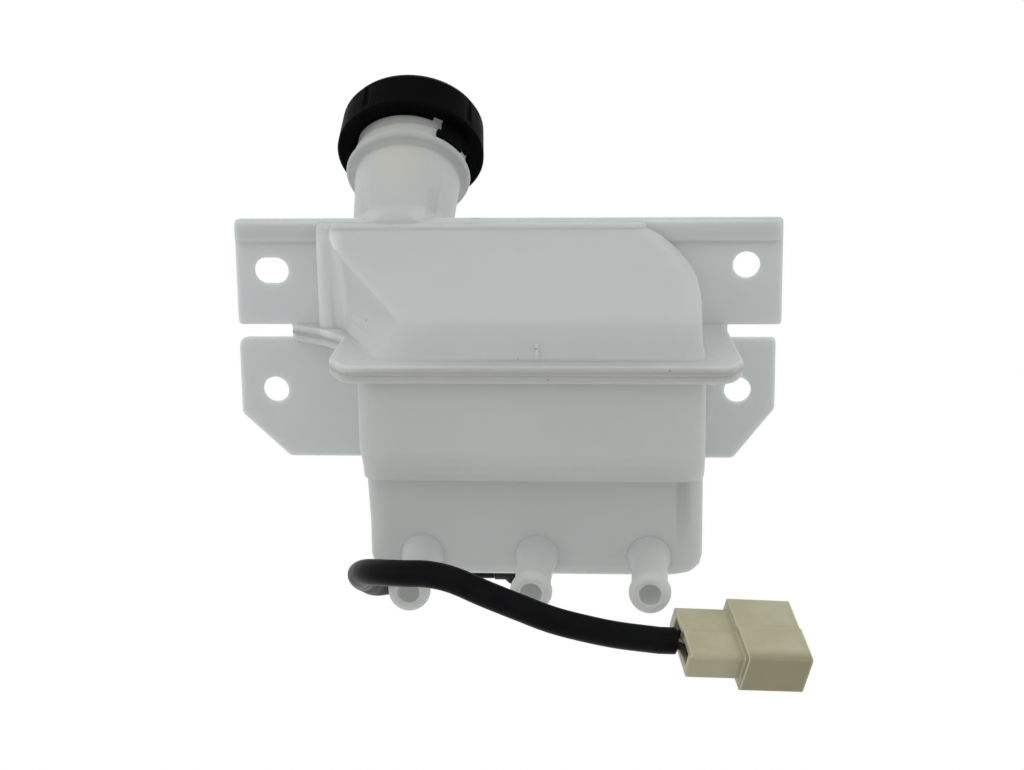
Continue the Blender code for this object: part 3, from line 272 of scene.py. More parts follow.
def fine_grain():
    """Height of a spark eroded mould surface, with a slow waviness under it."""
    tree, given, out = new_group("Fine Grain", ("Height",), Scale=2500.0, Wave=0.35)
    where = object_place(tree)
    slow = math_node(tree, "MULTIPLY", noise(tree, where, 85.0, 1.0), given["Wave"])
    grain = noise(tree, where, given["Scale"], 3.0, 0.6)
    feed(tree, out["Height"], math_node(tree, "ADD", grain, slow))
    return tree


def soft_edge():
    """Rounded edge normal, and a mask of where the surface turns."""
    tree, given, out = new_group("Soft Edge", ("Mask", "Normal"), Radius=0.0006, Gain=3.0)
    rounded = add_node(tree, "ShaderNodeBevel", samples=6, Radius=given["Radius"])
    face = add_node(tree, "ShaderNodeNewGeometry").outputs["Normal"]
    along = vector_node(tree, "DOT_PRODUCT", rounded.outputs["Normal"], face)["Value"]
    turned = math_node(tree, "SUBTRACT", 1.0, along)
    feed(tree, out["Mask"], math_node(tree, "MULTIPLY", turned, given["Gain"], clamp=True))
    feed(tree, out["Normal"], rounded.outputs["Normal"])
    return tree


def spot():
    """Soft round or stretched mark at a place on the object."""
    tree, given, out = new_group("Spot", Centre=(0.0, 0.0, 0.0), Half_Size=(0.001,) * 3,
                                 Ragged=0.3)
    where = object_place(tree)
    away = vector_node(tree, "SUBTRACT", where, given["Centre"])["Vector"]
    sized = vector_node(tree, "DIVIDE", away, given["Half Size"])["Vector"]
    bite = math_node(tree, "MULTIPLY", noise(tree, where, 1400.0), given["Ragged"])
    reach = math_node(tree, "ADD", vector_node(tree, "LENGTH", sized)["Value"], bite)
    feed(tree, out["Mask"], fade_range(tree, reach, 1.15, 0.75))
    return tree


def thin_plate():
    """Mask of the plate on its own, near the plane of its back."""
    tree, given, out = new_group("Thin Plate", Depth=0.0035, Top=0.0190)
    parts = add_node(tree, "ShaderNodeSeparateXYZ", Vector=object_place(tree)).outputs
    away = math_node(tree, "ABSOLUTE", parts["Y"], 0.0)
    near = fade_range(tree, math_node(tree, "DIVIDE", away, given["Depth"]), 1.15, 0.90)
    under = math_node(tree, "LESS_THAN", parts["Z"], given["Top"])
    feed(tree, out["Mask"], math_node(tree, "MULTIPLY", near, under))
    return tree


def side_fade():
    """Mask that rises with the distance past a plane."""
    tree, given, out = new_group("Side Fade", Place=(0.0, 0.0, 0.0), Way=(0.0, -1.0, 0.0),
                                 Depth=0.006)
    away = vector_node(tree, "SUBTRACT", object_place(tree), given["Place"])["Vector"]
    along = vector_node(tree, "DOT_PRODUCT", away, given["Way"])["Value"]
    share = math_node(tree, "DIVIDE", along, given["Depth"])
    feed(tree, out["Mask"], fade_range(tree, share, 0.0, 1.0))
    return tree


def dust_flecks():
    """Sparse pale specks of dust."""
    tree, given, out = new_group("Dust Flecks", Scale=420.0, Amount=0.08)
    where = object_place(tree)
    cells = add_node(tree, "ShaderNodeTexVoronoi", Vector=where, Scale=given["Scale"],
                     Randomness=1.0).outputs["Distance"]
    size = math_node(tree, "MULTIPLY", noise(tree, where, 90.0), given["Amount"])
    feed(tree, out["Mask"], math_node(tree, "LESS_THAN", cells, size))
    return tree


GROUPS = {}


def build_groups():
    for make in (moulded_cloud, fine_grain, soft_edge, spot, thin_plate, side_fade, dust_flecks):
        GROUPS[make.__name__] = make()


def use_group(tree, name, **values):
    return add_node(tree, "ShaderNodeGroup", node_tree=GROUPS[name], **values).outputs


def mix_color(tree, factor, first, second):
    node = add_node(tree, "ShaderNodeMix", data_type="RGBA")
    for index, value in ((0, factor), (6, first), (7, second)):
        feed(tree, node.inputs[index], value)
    return node.outputs[2]


def start_material(name, roughness, **values):
    mat = bpy.data.materials.new(name)
    mat.use_nodes = True
    shader = mat.node_tree.nodes["Principled BSDF"]
    set_inputs(mat.node_tree, shader, Roughness=roughness, **values)
    return mat, mat.node_tree, shader


def clouded(tree, scale, streak, dark, light):
    """Mask of the moulded cloud, and the colour between these two that it gives."""
    cloud = use_group(tree, "moulded_cloud", Scale=scale, Streak=streak)["Mask"]
    return cloud, mix_color(tree, cloud, dark, light)


def tinted(tree, base, mask, share, tint):
    """Colour with this share of a tint where the mask is."""
    return mix_color(tree, math_node(tree, "MULTIPLY", mask, share), base, tint)


def dusty(tree, color, scale, amount, share, dust):
    flecks = use_group(tree, "dust_flecks", Scale=scale, Amount=amount)["Mask"]
    return tinted(tree, color, flecks, share, dust)


def set_bump(tree, shader, height, strength, distance, normal=None):
    bump = add_node(tree, "ShaderNodeBump", Strength=strength, Distance=distance, Height=height)
    if normal is not None:
        feed(tree, bump.inputs["Normal"], normal)
    feed(tree, shader.inputs["Normal"], bump.outputs["Normal"])


def set_grain(tree, shader, scale, wave, strength, distance, normal=None):
    grain = use_group(tree, "fine_grain", Scale=scale, Wave=wave)["Height"]
    set_bump(tree, shader, grain, strength, distance, normal)


def vary_roughness(tree, shader, mask, low, high):
    span = add_node(tree, "ShaderNodeMapRange", Value=mask, To_Min=low, To_Max=high)
    feed(tree, shader.inputs["Roughness"], span.outputs["Result"])


# Materials

DARK_MARK = (0.035, 0.035, 0.030)
# Half size of the band at the seam where the edges stay plain, with no painted highlight
SEAM_BAND = (0.4, 0.4, 0.0016)
# Where the painted shade on the connector's low face starts, from its middle
SHADED_FACE_FROM = -0.0092


def neck_fade(tree, along):
    """Mask of all that lies further along the neck than a place on it."""
    frame_at = neck_frame(along)
    return use_group(tree, "side_fade", Place=frame_at.translation,
                     Way=frame_at.to_3x3() @ Vector((0.0, 0.0, 1.0)), Depth=0.0008)["Mask"]


def tank_material(name, color, marks, tints=(), bands=()):
    """Natural plastic with a painted glow for the light in its wall, painted highlights on its edges,
    painted light and shade in some tints and bands, and the marks left by handling.
    """
    finish = bpy.context.scene.tank_finish
    # The emission is a painted glow, not a lamp
    mat, tree, shader = start_material(
        name, finish.roughness, Emission_Color=finish.glow_color, Emission_Strength=1.0,
        Subsurface_Weight=0.9, Subsurface_Radius=(1.0, 1.0, 0.9),
        Subsurface_Scale=finish.scatter, IOR=1.49, Specular_IOR_Level=0.28)
    cloud, base = clouded(tree, 22.0, 0.12, [0.965 * part for part in color], color)
    # The thin plate's tone with painted light from behind
    thin = use_group(tree, "thin_plate", Depth=0.0036)["Mask"]
    base = tinted(tree, base, thin, 0.75, finish.thin_tone_and_backlight_color)
    # Spot tints: the warm ones are the plastic's own colour, the seam ones add painted shade and the
    # pale ones painted light
    for centre, size, share, tint in tints:
        area = use_group(tree, "spot", Centre=centre, Half_Size=size, Ragged=0.1)["Mask"]
        base = tinted(tree, base, area, share, getattr(finish, tint))
    # Bands of painted shade along the neck
    for low, high, share, tint in bands:
        beyond = math_node(tree, "SUBTRACT", 1.0, neck_fade(tree, high))
        band = math_node(tree, "MULTIPLY", neck_fade(tree, low), beyond)
        base = tinted(tree, base, band, share, getattr(finish, tint))
    # Painted highlight: where the surface turns, the colour goes to the edge colour, except in the
    # seam band
    edge = use_group(tree, "soft_edge", Radius=0.0014, Gain=1.2)
    seam = use_group(tree, "spot", Centre=(0.0, -0.0400, SEAM_Z), Half_Size=SEAM_BAND,
                     Ragged=0.0)["Mask"]
    open_edge = math_node(tree, "SUBTRACT", 1.0, seam)
    pale = math_node(tree, "MULTIPLY", edge["Mask"], open_edge)
    base = mix_color(tree, pale, base, finish.painted_edge_highlight)
    normal = add_node(tree, "ShaderNodeMix", data_type="VECTOR")
    plain = add_node(tree, "ShaderNodeNewGeometry").outputs["Normal"]
    for index, value in ((0, open_edge), (4, plain), (5, edge["Normal"])):
        feed(tree, normal.inputs[index], value)
    for centre, size, depth in marks:
        mark = use_group(tree, "spot", Centre=centre, Half_Size=size, Ragged=0.5)["Mask"]
        base = tinted(tree, base, mark, depth, DARK_MARK)
    feed(tree, shader.inputs["Base Color"], base)
    set_grain(tree, shader, 1900.0, 2.2, 0.12, 0.00025, normal.outputs[1])
    vary_roughness(tree, shader, cloud, finish.roughness - 0.05, finish.roughness + 0.05)
    return mat


def weld_material():
    """Plastic of the weld in the seam tint with its painted flange shade, a little darker than the
    walls that it joins.
    """
    finish = bpy.context.scene.tank_finish
    # The emission is the same painted glow as on the tank walls
    mat, tree, shader = start_material(
        "weld_plastic", 0.5, Emission_Color=finish.glow_color, Emission_Strength=1.0,
        Specular_IOR_Level=0.28)
    deep = [0.93 * part for part in finish.seam_tint_and_flange_shade]
    feed(tree, shader.inputs["Base Color"],
         clouded(tree, 60.0, 0.2, deep, finish.seam_tint_and_flange_shade)[1])
    set_grain(tree, shader, 1900.0, 1.5, 0.12, 0.0002)
    return mat


def cap_material():
    """Black plastic with a fine matt grain, painted highlights at its edges, and a little dust."""
    mat, tree, shader = start_material("cap_black_grain", 0.48, Specular_IOR_Level=0.010)
    cloud, color = clouded(tree, 60.0, 0.5, (0.0020, 0.0020, 0.0022), (0.0034, 0.0034, 0.0036))
    # Painted highlight: lighter colour where the edges turn
    edge = use_group(tree, "soft_edge", Radius=0.0007, Gain=1.2)
    color = mix_color(tree, edge["Mask"], color, (0.009, 0.009, 0.010))
    feed(tree, shader.inputs["Base Color"],
         dusty(tree, color, 260.0, 0.075, 0.5, (0.10, 0.10, 0.10)))
    set_grain(tree, shader, 2600.0, 1.0, 0.45, 0.0002, edge["Normal"])
    vary_roughness(tree, shader, cloud, 0.42, 0.56)
    return mat


def sleeve_material():
    """Soft black sleeve with a satin gloss, faint length-wise wrinkles and dust."""
    mat, tree, shader = start_material("sleeve_black_satin", 0.34, Specular_IOR_Level=0.045)
    cloud, color = clouded(tree, 110.0, 0.25, (0.0028, 0.0029, 0.0034),
                           (0.0044, 0.0046, 0.0054))
    feed(tree, shader.inputs["Base Color"],
         dusty(tree, color, 330.0, 0.05, 0.35, (0.09, 0.09, 0.09)))
    set_grain(tree, shader, 900.0, 3.0, 0.25, 0.0004)
    vary_roughness(tree, shader, cloud, 0.30, 0.44)
    return mat


def connector_material():
    """Ivory nylon with painted highlights on its edges, painted shade on its low face and slow flow
    marks from the gate.
    """
    mat, tree, shader = start_material(
        "connector_ivory", 0.36, Subsurface_Weight=0.35, Subsurface_Radius=(1.0, 0.9, 0.55),
        Subsurface_Scale=0.0016)
    cloud, color = clouded(tree, 75.0, 0.45, (0.400, 0.382, 0.240), (0.450, 0.434, 0.300))
    # Painted shade: darker colour on the low face, which faces down
    frame_at = plug_frame()
    low = use_group(tree, "side_fade", Place=frame_at @ Vector((0.0, SHADED_FACE_FROM, 0.0)),
                    Way=frame_at.to_3x3() @ Vector((0.0, -1.0, 0.0)), Depth=0.0058)["Mask"]
    color = tinted(tree, color, low, 0.85, (0.218, 0.193, 0.100))
    # Painted highlight: lighter colour on the edges
    edge = use_group(tree, "soft_edge", Radius=0.0011, Gain=5.0)
    feed(tree, shader.inputs["Base Color"],
         mix_color(tree, edge["Mask"], color, (0.62, 0.61, 0.47)))
    set_grain(tree, shader, 2400.0, 0.8, 0.14, 0.0002, edge["Normal"])
    vary_roughness(tree, shader, cloud, 0.30, 0.42)
    return mat


def small_part_material(name, roughness, cloud, dark, light, grain=None, gloss=None, **values):
    """Cloud is scale and streak, grain is set_grain's values, gloss is a range of roughness."""
    mat, tree, shader = start_material(name, roughness, **values)
    mask, color = clouded(tree, *cloud, dark, light)
    feed(tree, shader.inputs["Base Color"], color)
    if grain:
        set_grain(tree, shader, *grain)
    if gloss:
        vary_roughness(tree, shader, mask, *gloss)
    return mat


def plain_black_material(name, roughness, scale):
    """Black plastic or rubber of the small parts."""
    return small_part_material(
        name, roughness, (scale, 0.2), (0.006, 0.006, 0.006), (0.011, 0.011, 0.011),
        (2100.0, 0.8, 0.3, 0.0002), (roughness - 0.06, roughness + 0.06),
        Specular_IOR_Level=0.15)


def white_part_material():
    """White plastic of the strainer, the disc and the float's stop."""
    return small_part_material("small_part_white", 0.45, (90.0, 0.2), (0.62, 0.63, 0.61),
                               (0.70, 0.71, 0.69), (2200.0, 0.6, 0.2, 0.0002))


def magnet_material():
    """Dark bonded ferrite with a gritty face."""
    return small_part_material("magnet_dark", 0.55, (200.0, 0.0), (0.030, 0.030, 0.033),
                               (0.055, 0.055, 0.058), (3200.0, 0.4, 0.5, 0.0002))


def tinned_material():
    """Tinned brass with rolling lines along the strip."""
    return small_part_material("terminal_tinned", 0.28, (300.0, 0.5), (0.62, 0.60, 0.55),
                               (0.76, 0.74, 0.69), (1500.0, 0.3, 0.12, 0.0001), (0.22, 0.38),
                               Metallic=1.0)


def reed_glass_material():
    """Clear greenish glass tube with a faintly uneven drawn wall."""
    return small_part_material("reed_glass_green", 0.05, (400.0, 0.3), (0.55, 0.78, 0.62),
                               (0.66, 0.86, 0.72), Transmission_Weight=0.9, IOR=1.5)


def float_material():
    """Closed cell foam: grey, dry, with small cells."""
    mat, tree, shader = start_material("float_foam_grey", 0.85)
    cells = add_node(tree, "ShaderNodeTexVoronoi", Vector=object_place(tree), Scale=1300.0,
                     Randomness=1.0).outputs["Distance"]
    feed(tree, shader.inputs["Base Color"],
         mix_color(tree, cells, (0.10, 0.10, 0.095), (0.05, 0.05, 0.05)))
    set_bump(tree, shader, cells, 0.5, 0.0003)
    return mat


# Mesh helpers

def neck_frame(along=0.0):
    """Frame on the neck's axis: Z along the neck, X along the plate."""
    axis = Vector((0.0, math.sin(NECK_TILT), math.cos(NECK_TILT)))
    side = Vector((1.0, 0.0, 0.0))
    turn = Matrix((side, axis.cross(side), axis)).transposed().to_4x4()
    return Matrix.Translation(NECK_BASE + axis * along) @ turn


def plug_frame(along=0.0):
    """Frame of the connector: X to its mouth, Z out of its top face."""
    turn = Matrix.Rotation(PLUG_YAW, 4, "Z") @ Matrix.Rotation(-PLUG_PITCH, 4, "Y")
    turn = turn @ Matrix.Rotation(PLUG_ROLL, 4, "X")
    return Matrix.Translation(PLUG_AT) @ turn @ Matrix.Translation((along, 0.0, 0.0))


def add_object(name, data):
    obj = bpy.data.objects.new(name, data)
    bpy.context.scene.collection.objects.link(obj)
    return obj


def new_piece(name, mesh, mat, body, replaces=()):
    """Put a mesh in the scene as a finished piece of a body."""
    obj = add_object(name, mesh)
    obj.data.materials.clear()
    obj.data.materials.append(mat)
    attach(obj, body)
    if replaces:
        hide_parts(*replaces)
    return obj


def finished_skin(node, name, mat, body, angle=40.0):
    """Smooth shaded copy of a solid, with its loose triangles merged, in the solid's place."""
    bm = bmesh.new()
    bm.from_mesh(NODES[node].data)
    bmesh.ops.remove_doubles(bm, verts=bm.verts, dist=0.000002)
    bmesh.ops.dissolve_limit(bm, angle_limit=math.radians(0.6), verts=bm.verts, edges=bm.edges)
    mesh = bpy.data.meshes.new(name)
    bm.to_mesh(mesh)
    bm.free()
    obj = add_object(name, shaded(mesh, angle))
    weighted = obj.modifiers.new("weighted", "WEIGHTED_NORMAL")
    weighted.keep_sharp = True
    weighted.weight = 80
    graph = bpy.context.evaluated_depsgraph_get()
    final = bpy.data.meshes.new_from_object(obj.evaluated_get(graph))
    bpy.data.objects.remove(obj, do_unlink=True)
    final.name = name
    return new_piece(name, final, mat, body, (node,))


def dress_node(node, mat):
    """Give a carried-over solid its material."""
    obj = NODES[node]
    for slot in obj.material_slots:
        slot.material = mat
    if not obj.material_slots:
        obj.data.materials.append(mat)


def smooth_route(points, count):
    """Evenly spaced points on a Catmull-Rom curve through the route."""
    ends = [points[0] * 2.0 - points[1]] + points + [points[-1] * 2.0 - points[-2]]
    fine = []
    for a, b, c, d in zip(ends, ends[1:], ends[2:], ends[3:]):
        for k in range(24):
            t = k / 24.0
            fine.append(0.5 * (2 * b + (c - a) * t + (2 * a - 5 * b + 4 * c - d) * t * t
                               + (3 * b - a - 3 * c + d) * t ** 3))
    fine.append(points[-1])
    lengths = [0.0]
    for p, q in zip(fine, fine[1:]):
        lengths.append(lengths[-1] + (q - p).length)
    picked = []
    i = 0
    for k in range(count):
        want = lengths[-1] * k / (count - 1)
        while i < len(fine) - 2 and lengths[i + 1] < want:
            i += 1
        part = (want - lengths[i]) / (lengths[i + 1] - lengths[i])
        picked.append(fine[i].lerp(fine[i + 1], min(1.0, max(0.0, part))))
    return picked


def shaded(mesh, sharp):
    """Smooth shading that breaks past this many degrees."""
    mesh.shade_smooth()
    mesh.set_sharp_from_angle(angle=math.radians(sharp))
    return mesh


def closed_mesh(bm, name, sharp):
    """Shaded mesh with its faces turned outwards."""
    bmesh.ops.recalc_face_normals(bm, faces=bm.faces)
    mesh = bpy.data.meshes.new(name)
    bm.to_mesh(mesh)
    bm.free()
    return shaded(mesh, sharp)


def bridge(bm, near, far):
    """Strip of four sided faces between two rings."""
    for k in range(len(near)):
        n = (k + 1) % len(near)
        bm.faces.new((near[k], near[n], far[n], far[k]))


def swept_tube(name, points, radius, sides, shape=None):
    """Mesh tube along points; shape(part) gives the width and height factors at that part."""
    bm = bmesh.new()
    rings = []
    tangent = (points[1] - points[0]).normalized()
    side = tangent.orthogonal().normalized()
    last = len(points) - 1
    for i, p in enumerate(points):
        ahead = points[min(i + 1, last)] - points[max(i - 1, 0)]
        turn = tangent.rotation_difference(ahead.normalized())
        tangent = ahead.normalized()
        side = (turn @ side).normalized()
        up = tangent.cross(side)
        wide, tall = shape(i / last) if shape else (1.0, 1.0)
        ring = []
        for k in range(sides):
            a = 2.0 * math.pi * k / sides
            ring.append(bm.verts.new(p + side * radius * wide * math.cos(a)
                                     + up * radius * tall * math.sin(a)))
        rings.append(ring)
    for low, high in zip(rings, rings[1:]):
        bridge(bm, low, high)
    bm.faces.new(list(reversed(rings[0])))
    bm.faces.new(rings[-1])
    return closed_mesh(bm, name, 50.0)


# Geometry node trees

def new_growth(name, inputs, takes_mesh=False):
    """Geometry node group, the identifiers of its inputs, and its inputs as sockets."""
    tree = bpy.data.node_groups.new(name, "GeometryNodeTree")
    face = tree.interface
    if takes_mesh:
        face.new_socket(name="Geometry", in_out="INPUT", socket_type="NodeSocketGeometry")
    sockets = {}
    for label, kind in (*inputs, ("Material", "Material")):
        sockets[label] = face.new_socket(name=label, in_out="INPUT",
                                         socket_type="NodeSocket" + kind).identifier
    face.new_socket(name="Geometry", in_out="OUTPUT", socket_type="NodeSocketGeometry")
    return tree, sockets, add_node(tree, "NodeGroupInput").outputs


def sweep_out(tree, given, line, section, caps):
    """Sweep the section along the line and give it out, real and with its material."""
    sweep = add_node(tree, "GeometryNodeCurveToMesh", Curve=line.outputs["Curve"],
                     Profile_Curve=section.outputs["Curve"], Fill_Caps=caps)
    real = add_node(tree, "GeometryNodeRealizeInstances", Geometry=sweep.outputs["Mesh"])
    paint = add_node(tree, "GeometryNodeSetMaterial", Geometry=real.outputs["Geometry"],
                     Material=given["Material"])
    add_node(tree, "NodeGroupOutput", Geometry=paint.outputs["Geometry"])


def ridge_tree():
    """Helical ridge: a spiral swept with a four sided section, faded in at both ends."""
    tree, sockets, given = new_growth("Helical Ridge", (
        ("Turns", "Float"), ("Radius", "Float"), ("Pitch", "Float"), ("Height", "Float"),
        ("Width", "Float"), ("Steps", "Int")))
    rise = math_node(tree, "MULTIPLY", given["Pitch"], given["Turns"])
    spiral = add_node(tree, "GeometryNodeCurveSpiral", Resolution=given["Steps"],
                      Rotations=given["Turns"], Start_Radius=given["Radius"],
                      End_Radius=given["Radius"], Height=rise)
    along = add_node(tree, "GeometryNodeSplineParameter").outputs["Factor"]
    fade = add_node(tree, "ShaderNodeFloatCurve", Value=along)
    curve = fade.mapping.curves[0]
    curve.points[0].location = (0.0, 0.25)
    curve.points[1].location = (1.0, 0.25)
    curve.points.new(0.03, 1.0)
    curve.points.new(0.97, 1.0)
    line = add_node(tree, "GeometryNodeSetCurveRadius", Curve=spiral.outputs["Curve"],
                    Radius=fade.outputs["Value"])
    top = math_node(tree, "MULTIPLY", given["Width"], 0.38)
    section = add_node(tree, "GeometryNodeCurvePrimitiveQuadrilateral", mode="TRAPEZOID",
                       Bottom_Width=given["Width"], Top_Width=top, Height=given["Height"],
                       Offset=0.0)
    sweep_out(tree, given, line, section, True)
    return tree, sockets


def bead_tree():
    """Weld bead: an uneven round section swept along the seam's own line."""
    tree, sockets, given = new_growth("Weld Bead", (
        ("Radius", "Float"), ("Uneven", "Float"), ("Spacing", "Float"), ("Seed", "Float")), True)
    line = add_node(tree, "GeometryNodeMeshToCurve", Mesh=given["Geometry"])
    even = add_node(tree, "GeometryNodeResampleCurve", mode="LENGTH",
                    Curve=line.outputs["Curve"], Length=given["Spacing"])
    lumps = add_node(tree, "ShaderNodeTexNoise", noise_dimensions="4D", Scale=260.0,
                     W=given["Seed"]).outputs["Fac"]
    swing = math_node(tree, "ADD", math_node(tree, "MULTIPLY", lumps, given["Uneven"]), 0.75)
    radius = add_node(tree, "GeometryNodeSetCurveRadius", Curve=even.outputs["Curve"],
                      Radius=swing)
    section = add_node(tree, "GeometryNodeCurvePrimitiveCircle", Resolution=8,
                       Radius=given["Radius"])
    sweep_out(tree, given, radius, section, False)
    return tree, sockets


def grown_mesh(name, tree, sockets, values, start=None):
    """Plain mesh of a geometry node tree with these inputs."""
    holder = add_object(name, start or bpy.data.meshes.new(name))
    modifier = holder.modifiers.new("grow", "NODES")
    modifier.node_group = tree
    for label, value in values.items():
        modifier[sockets[label]] = value
    graph = bpy.context.evaluated_depsgraph_get()
    mesh = bpy.data.meshes.new_from_object(holder.evaluated_get(graph))
    bpy.data.objects.remove(holder, do_unlink=True)
    if not mesh.polygons:
        raise RuntimeError(f"{name} grew no faces")
    return mesh


def outward(mesh):
    bm = bmesh.new()
    bm.from_mesh(mesh)
    bmesh.ops.remove_doubles(bm, verts=bm.verts, dist=0.000001)
    bmesh.ops.recalc_face_normals(bm, faces=bm.faces)
    bm.to_mesh(mesh)
    bm.free()
    return mesh


# Operators

class RESERVOIR_OT_stage(bpy.types.Operator):
    """Camera at the photograph's angle, soft studio light, a pale floor and a white surround"""
    bl_idname = "reservoir.stage"
    bl_label = "Stage"

    def execute(self, context):
        settings = context.scene.reservoir_stage
        place_camera(settings)
        place_floor()
        place_lights(settings)
        white_world(settings)
        context.scene.view_settings.view_transform = "Standard"
        return {"FINISHED"}


def place_camera(settings):
    az, el, roll = settings.azimuth, settings.elevation, settings.roll
    back = Vector((math.sin(az) * math.cos(el), -math.cos(az) * math.cos(el), math.sin(el)))
    side = Vector((math.cos(az), math.sin(az), 0.0))
    up = back.cross(side)
    right = side * math.cos(roll) + up * math.sin(roll)
    top = up * math.cos(roll) - side * math.sin(roll)
    camera = add_object("camera", bpy.data.cameras.new("camera"))
    place = Matrix((right, top, back)).transposed().to_4x4()
    place.translation = Vector(settings.target) + back * settings.distance
    camera.matrix_world = place
    camera.data.sensor_width = 36.0
    camera.data.lens = settings.lens
    camera.data.clip_end = 20.0
    bpy.context.scene.camera = camera


FLOOR_Z = -0.235
# Share of plain white in what the camera sees of the floor; the rest takes the shadow
FLOOR_WHITE = 0.985


def seen_rays(tree):
    """1 for a ray from the camera, also one through glass or off a gloss."""
    path = add_node(tree, "ShaderNodeLightPath").outputs
    seen = math_node(tree, "MAXIMUM", path["Is Camera Ray"], path["Is Transmission Ray"])
    return math_node(tree, "MAXIMUM", seen, path["Is Glossy Ray"])


def show_mix(tree, share, first, second, end):
    """Lead a mix of two shaders to the tree's output."""
    mix = add_node(tree, "ShaderNodeMixShader")
    for index, value in enumerate((share, first.outputs[0], second.outputs[0])):
        feed(tree, mix.inputs[index], value)
    feed(tree, end.inputs["Surface"], mix.outputs[0])


def place_floor():
    """Pale floor that takes the object's shadow."""
    bm = bmesh.new()
    bmesh.ops.create_grid(bm, x_segments=1, y_segments=1, size=4.0)
    mesh = bpy.data.meshes.new("floor")
    bm.to_mesh(mesh)
    bm.free()
    mesh.transform(Matrix.Translation((0.0, 0.0, FLOOR_Z)))
    floor = add_object("floor", mesh)
    mat, tree, shader = start_material("stage_white", 0.9, Base_Color=(0.84, 0.84, 0.84))
    glow = add_node(tree, "ShaderNodeEmission")
    share = math_node(tree, "MULTIPLY", seen_rays(tree), FLOOR_WHITE)
    show_mix(tree, share, shader, glow, tree.nodes["Material Output"])
    floor.data.materials.append(mat)


def place_lights(settings):
    lamps = (
        ("key", (-0.35, -1.05, 0.75), 1.0, settings.key_light),
        ("side_left", (-0.85, -0.50, 0.25), 0.7, settings.key_light * 0.85),
        ("side_right", (0.85, -0.55, 0.35), 0.7, settings.key_light * 0.60),
    )
    for name, place, size, power in lamps:
        lamp = bpy.data.lights.new(name, "AREA")
        lamp.shape = "DISK"
        lamp.size = size
        lamp.energy = power
        obj = add_object(name, lamp)
        obj.location = place
        aim = Vector((0.0, 0.0, -0.04)) - Vector(place)
        obj.rotation_euler = aim.to_track_quat("-Z", "Y").to_euler()


def white_world(settings):
    """White to the camera; a soft fill, stronger from above, for everything else."""
    world = bpy.data.worlds.new("surround")
    world.use_nodes = True
    bpy.context.scene.world = world
    tree = world.node_tree
    tree.nodes.clear()
    where = add_node(tree, "ShaderNodeTexCoord").outputs["Generated"]
    parts = add_node(tree, "ShaderNodeSeparateXYZ", Vector=where)
    rise = add_node(tree, "ShaderNodeMapRange", Value=parts.outputs["Z"], From_Min=-1.0,
                    From_Max=1.0, To_Min=settings.fill_light * 0.80,
                    To_Max=settings.fill_light * 1.15)
    plain = (1.0, 1.0, 1.0)
    fill = add_node(tree, "ShaderNodeBackground", Color=plain, Strength=rise.outputs["Result"])
    white = add_node(tree, "ShaderNodeBackground", Color=plain, Strength=1.0)
    show_mix(tree, seen_rays(tree), fill, white, add_node(tree, "ShaderNodeOutputWorld"))


class RESERVOIR_OT_lead(bpy.types.Operator):
    """Sleeve from the gland to the connector, and the two wires that come out of it"""
    bl_idname = "reservoir.lead"
    bl_label = "Lead"

    def execute(self, context):
        sizes = context.scene.lead_sizes
        start = Vector((STEM_X - GLAND_REACH - GAP, STEM_Y, GLAND_Z))
        straight = start - Vector((GLAND_STRAIGHT, 0.0, 0.0))
        end = plug_frame(-WIRE_SHOWN).translation
        before = plug_frame(-WIRE_SHOWN - SLEEVE_STRAIGHT).translation
        route = [straight] + [Vector(p) for p in SLEEVE_ROUTE] + [before]
        points = [start] + smooth_route(route, 150) + [end]
        mesh = swept_tube("sleeve", points, sizes.diameter / 2.0, 32, sleeve_shape)
        sleeve = new_piece("sleeve", mesh, sleeve_material(), "tank",
                           ("lead_sleeve",))
        wire_black = plain_black_material("wire_black", 0.35, 150.0)
        for name, side in (("wire_a", 1.0), ("wire_b", -1.0)):
            spots = [plug_frame() @ Vector((along, side * across, 0.0))
                     for along, across in wire_route()]
            tube = swept_tube(name + "_skin", smooth_route(spots, 24),
                              sizes.wire_diameter / 2.0, 16)
            new_piece(name + "_skin", tube, wire_black, "tank", (name,))
        return {"FINISHED"}


def wire_route():
    return ((-WIRE_SHOWN + GAP, WIRE_START), (-0.0010, WIRE_START + 0.0004), (0.0004, 0.0034),
            (0.0016, 0.0047), (0.0028, WIRE_PITCH / 2.0), (0.0046, WIRE_PITCH / 2.0),
            (WIRE_END, WIRE_PITCH / 2.0))


def sleeve_shape(part):
    """The sleeve flattens a little where it bends round the nipple."""
    bend = math.exp(-((part - 0.33) / 0.10) ** 2)
    return 1.0 + 0.02 * bend, 1.0 - 0.05 * bend


class RESERVOIR_OT_tank(bpy.types.Operator):
    """Both tank halves in natural plastic, with the marks that the photograph shows"""
    bl_idname = "reservoir.tank"
    bl_label = "Tank Halves"

    def execute(self, context):
        finish = context.scene.tank_finish
        upper = tank_material("upper_plastic", finish.upper_color, UPPER_MARKS, UPPER_TINTS,
                              NECK_BANDS)
        lower = tank_material("lower_plastic", finish.lower_color, LOWER_MARKS, LOWER_TINTS)
        finished_skin("upper_tank", "upper_half", upper, "tank")
        step = turned_ring("neck_step", NECK_STEP)
        new_piece("neck_step", step, upper, "tank")
        finished_skin("lower_tank", "lower_half", lower, "tank")
        return {"FINISHED"}


# Step of the neck over the collar: radius and place along the neck
NECK_STEP = (
    (0.0191, 0.0258), (0.0206, 0.0258), (0.0209, 0.0264), (0.0209, 0.0311), (0.0206, 0.0316),
    (0.0191, 0.0320),
)


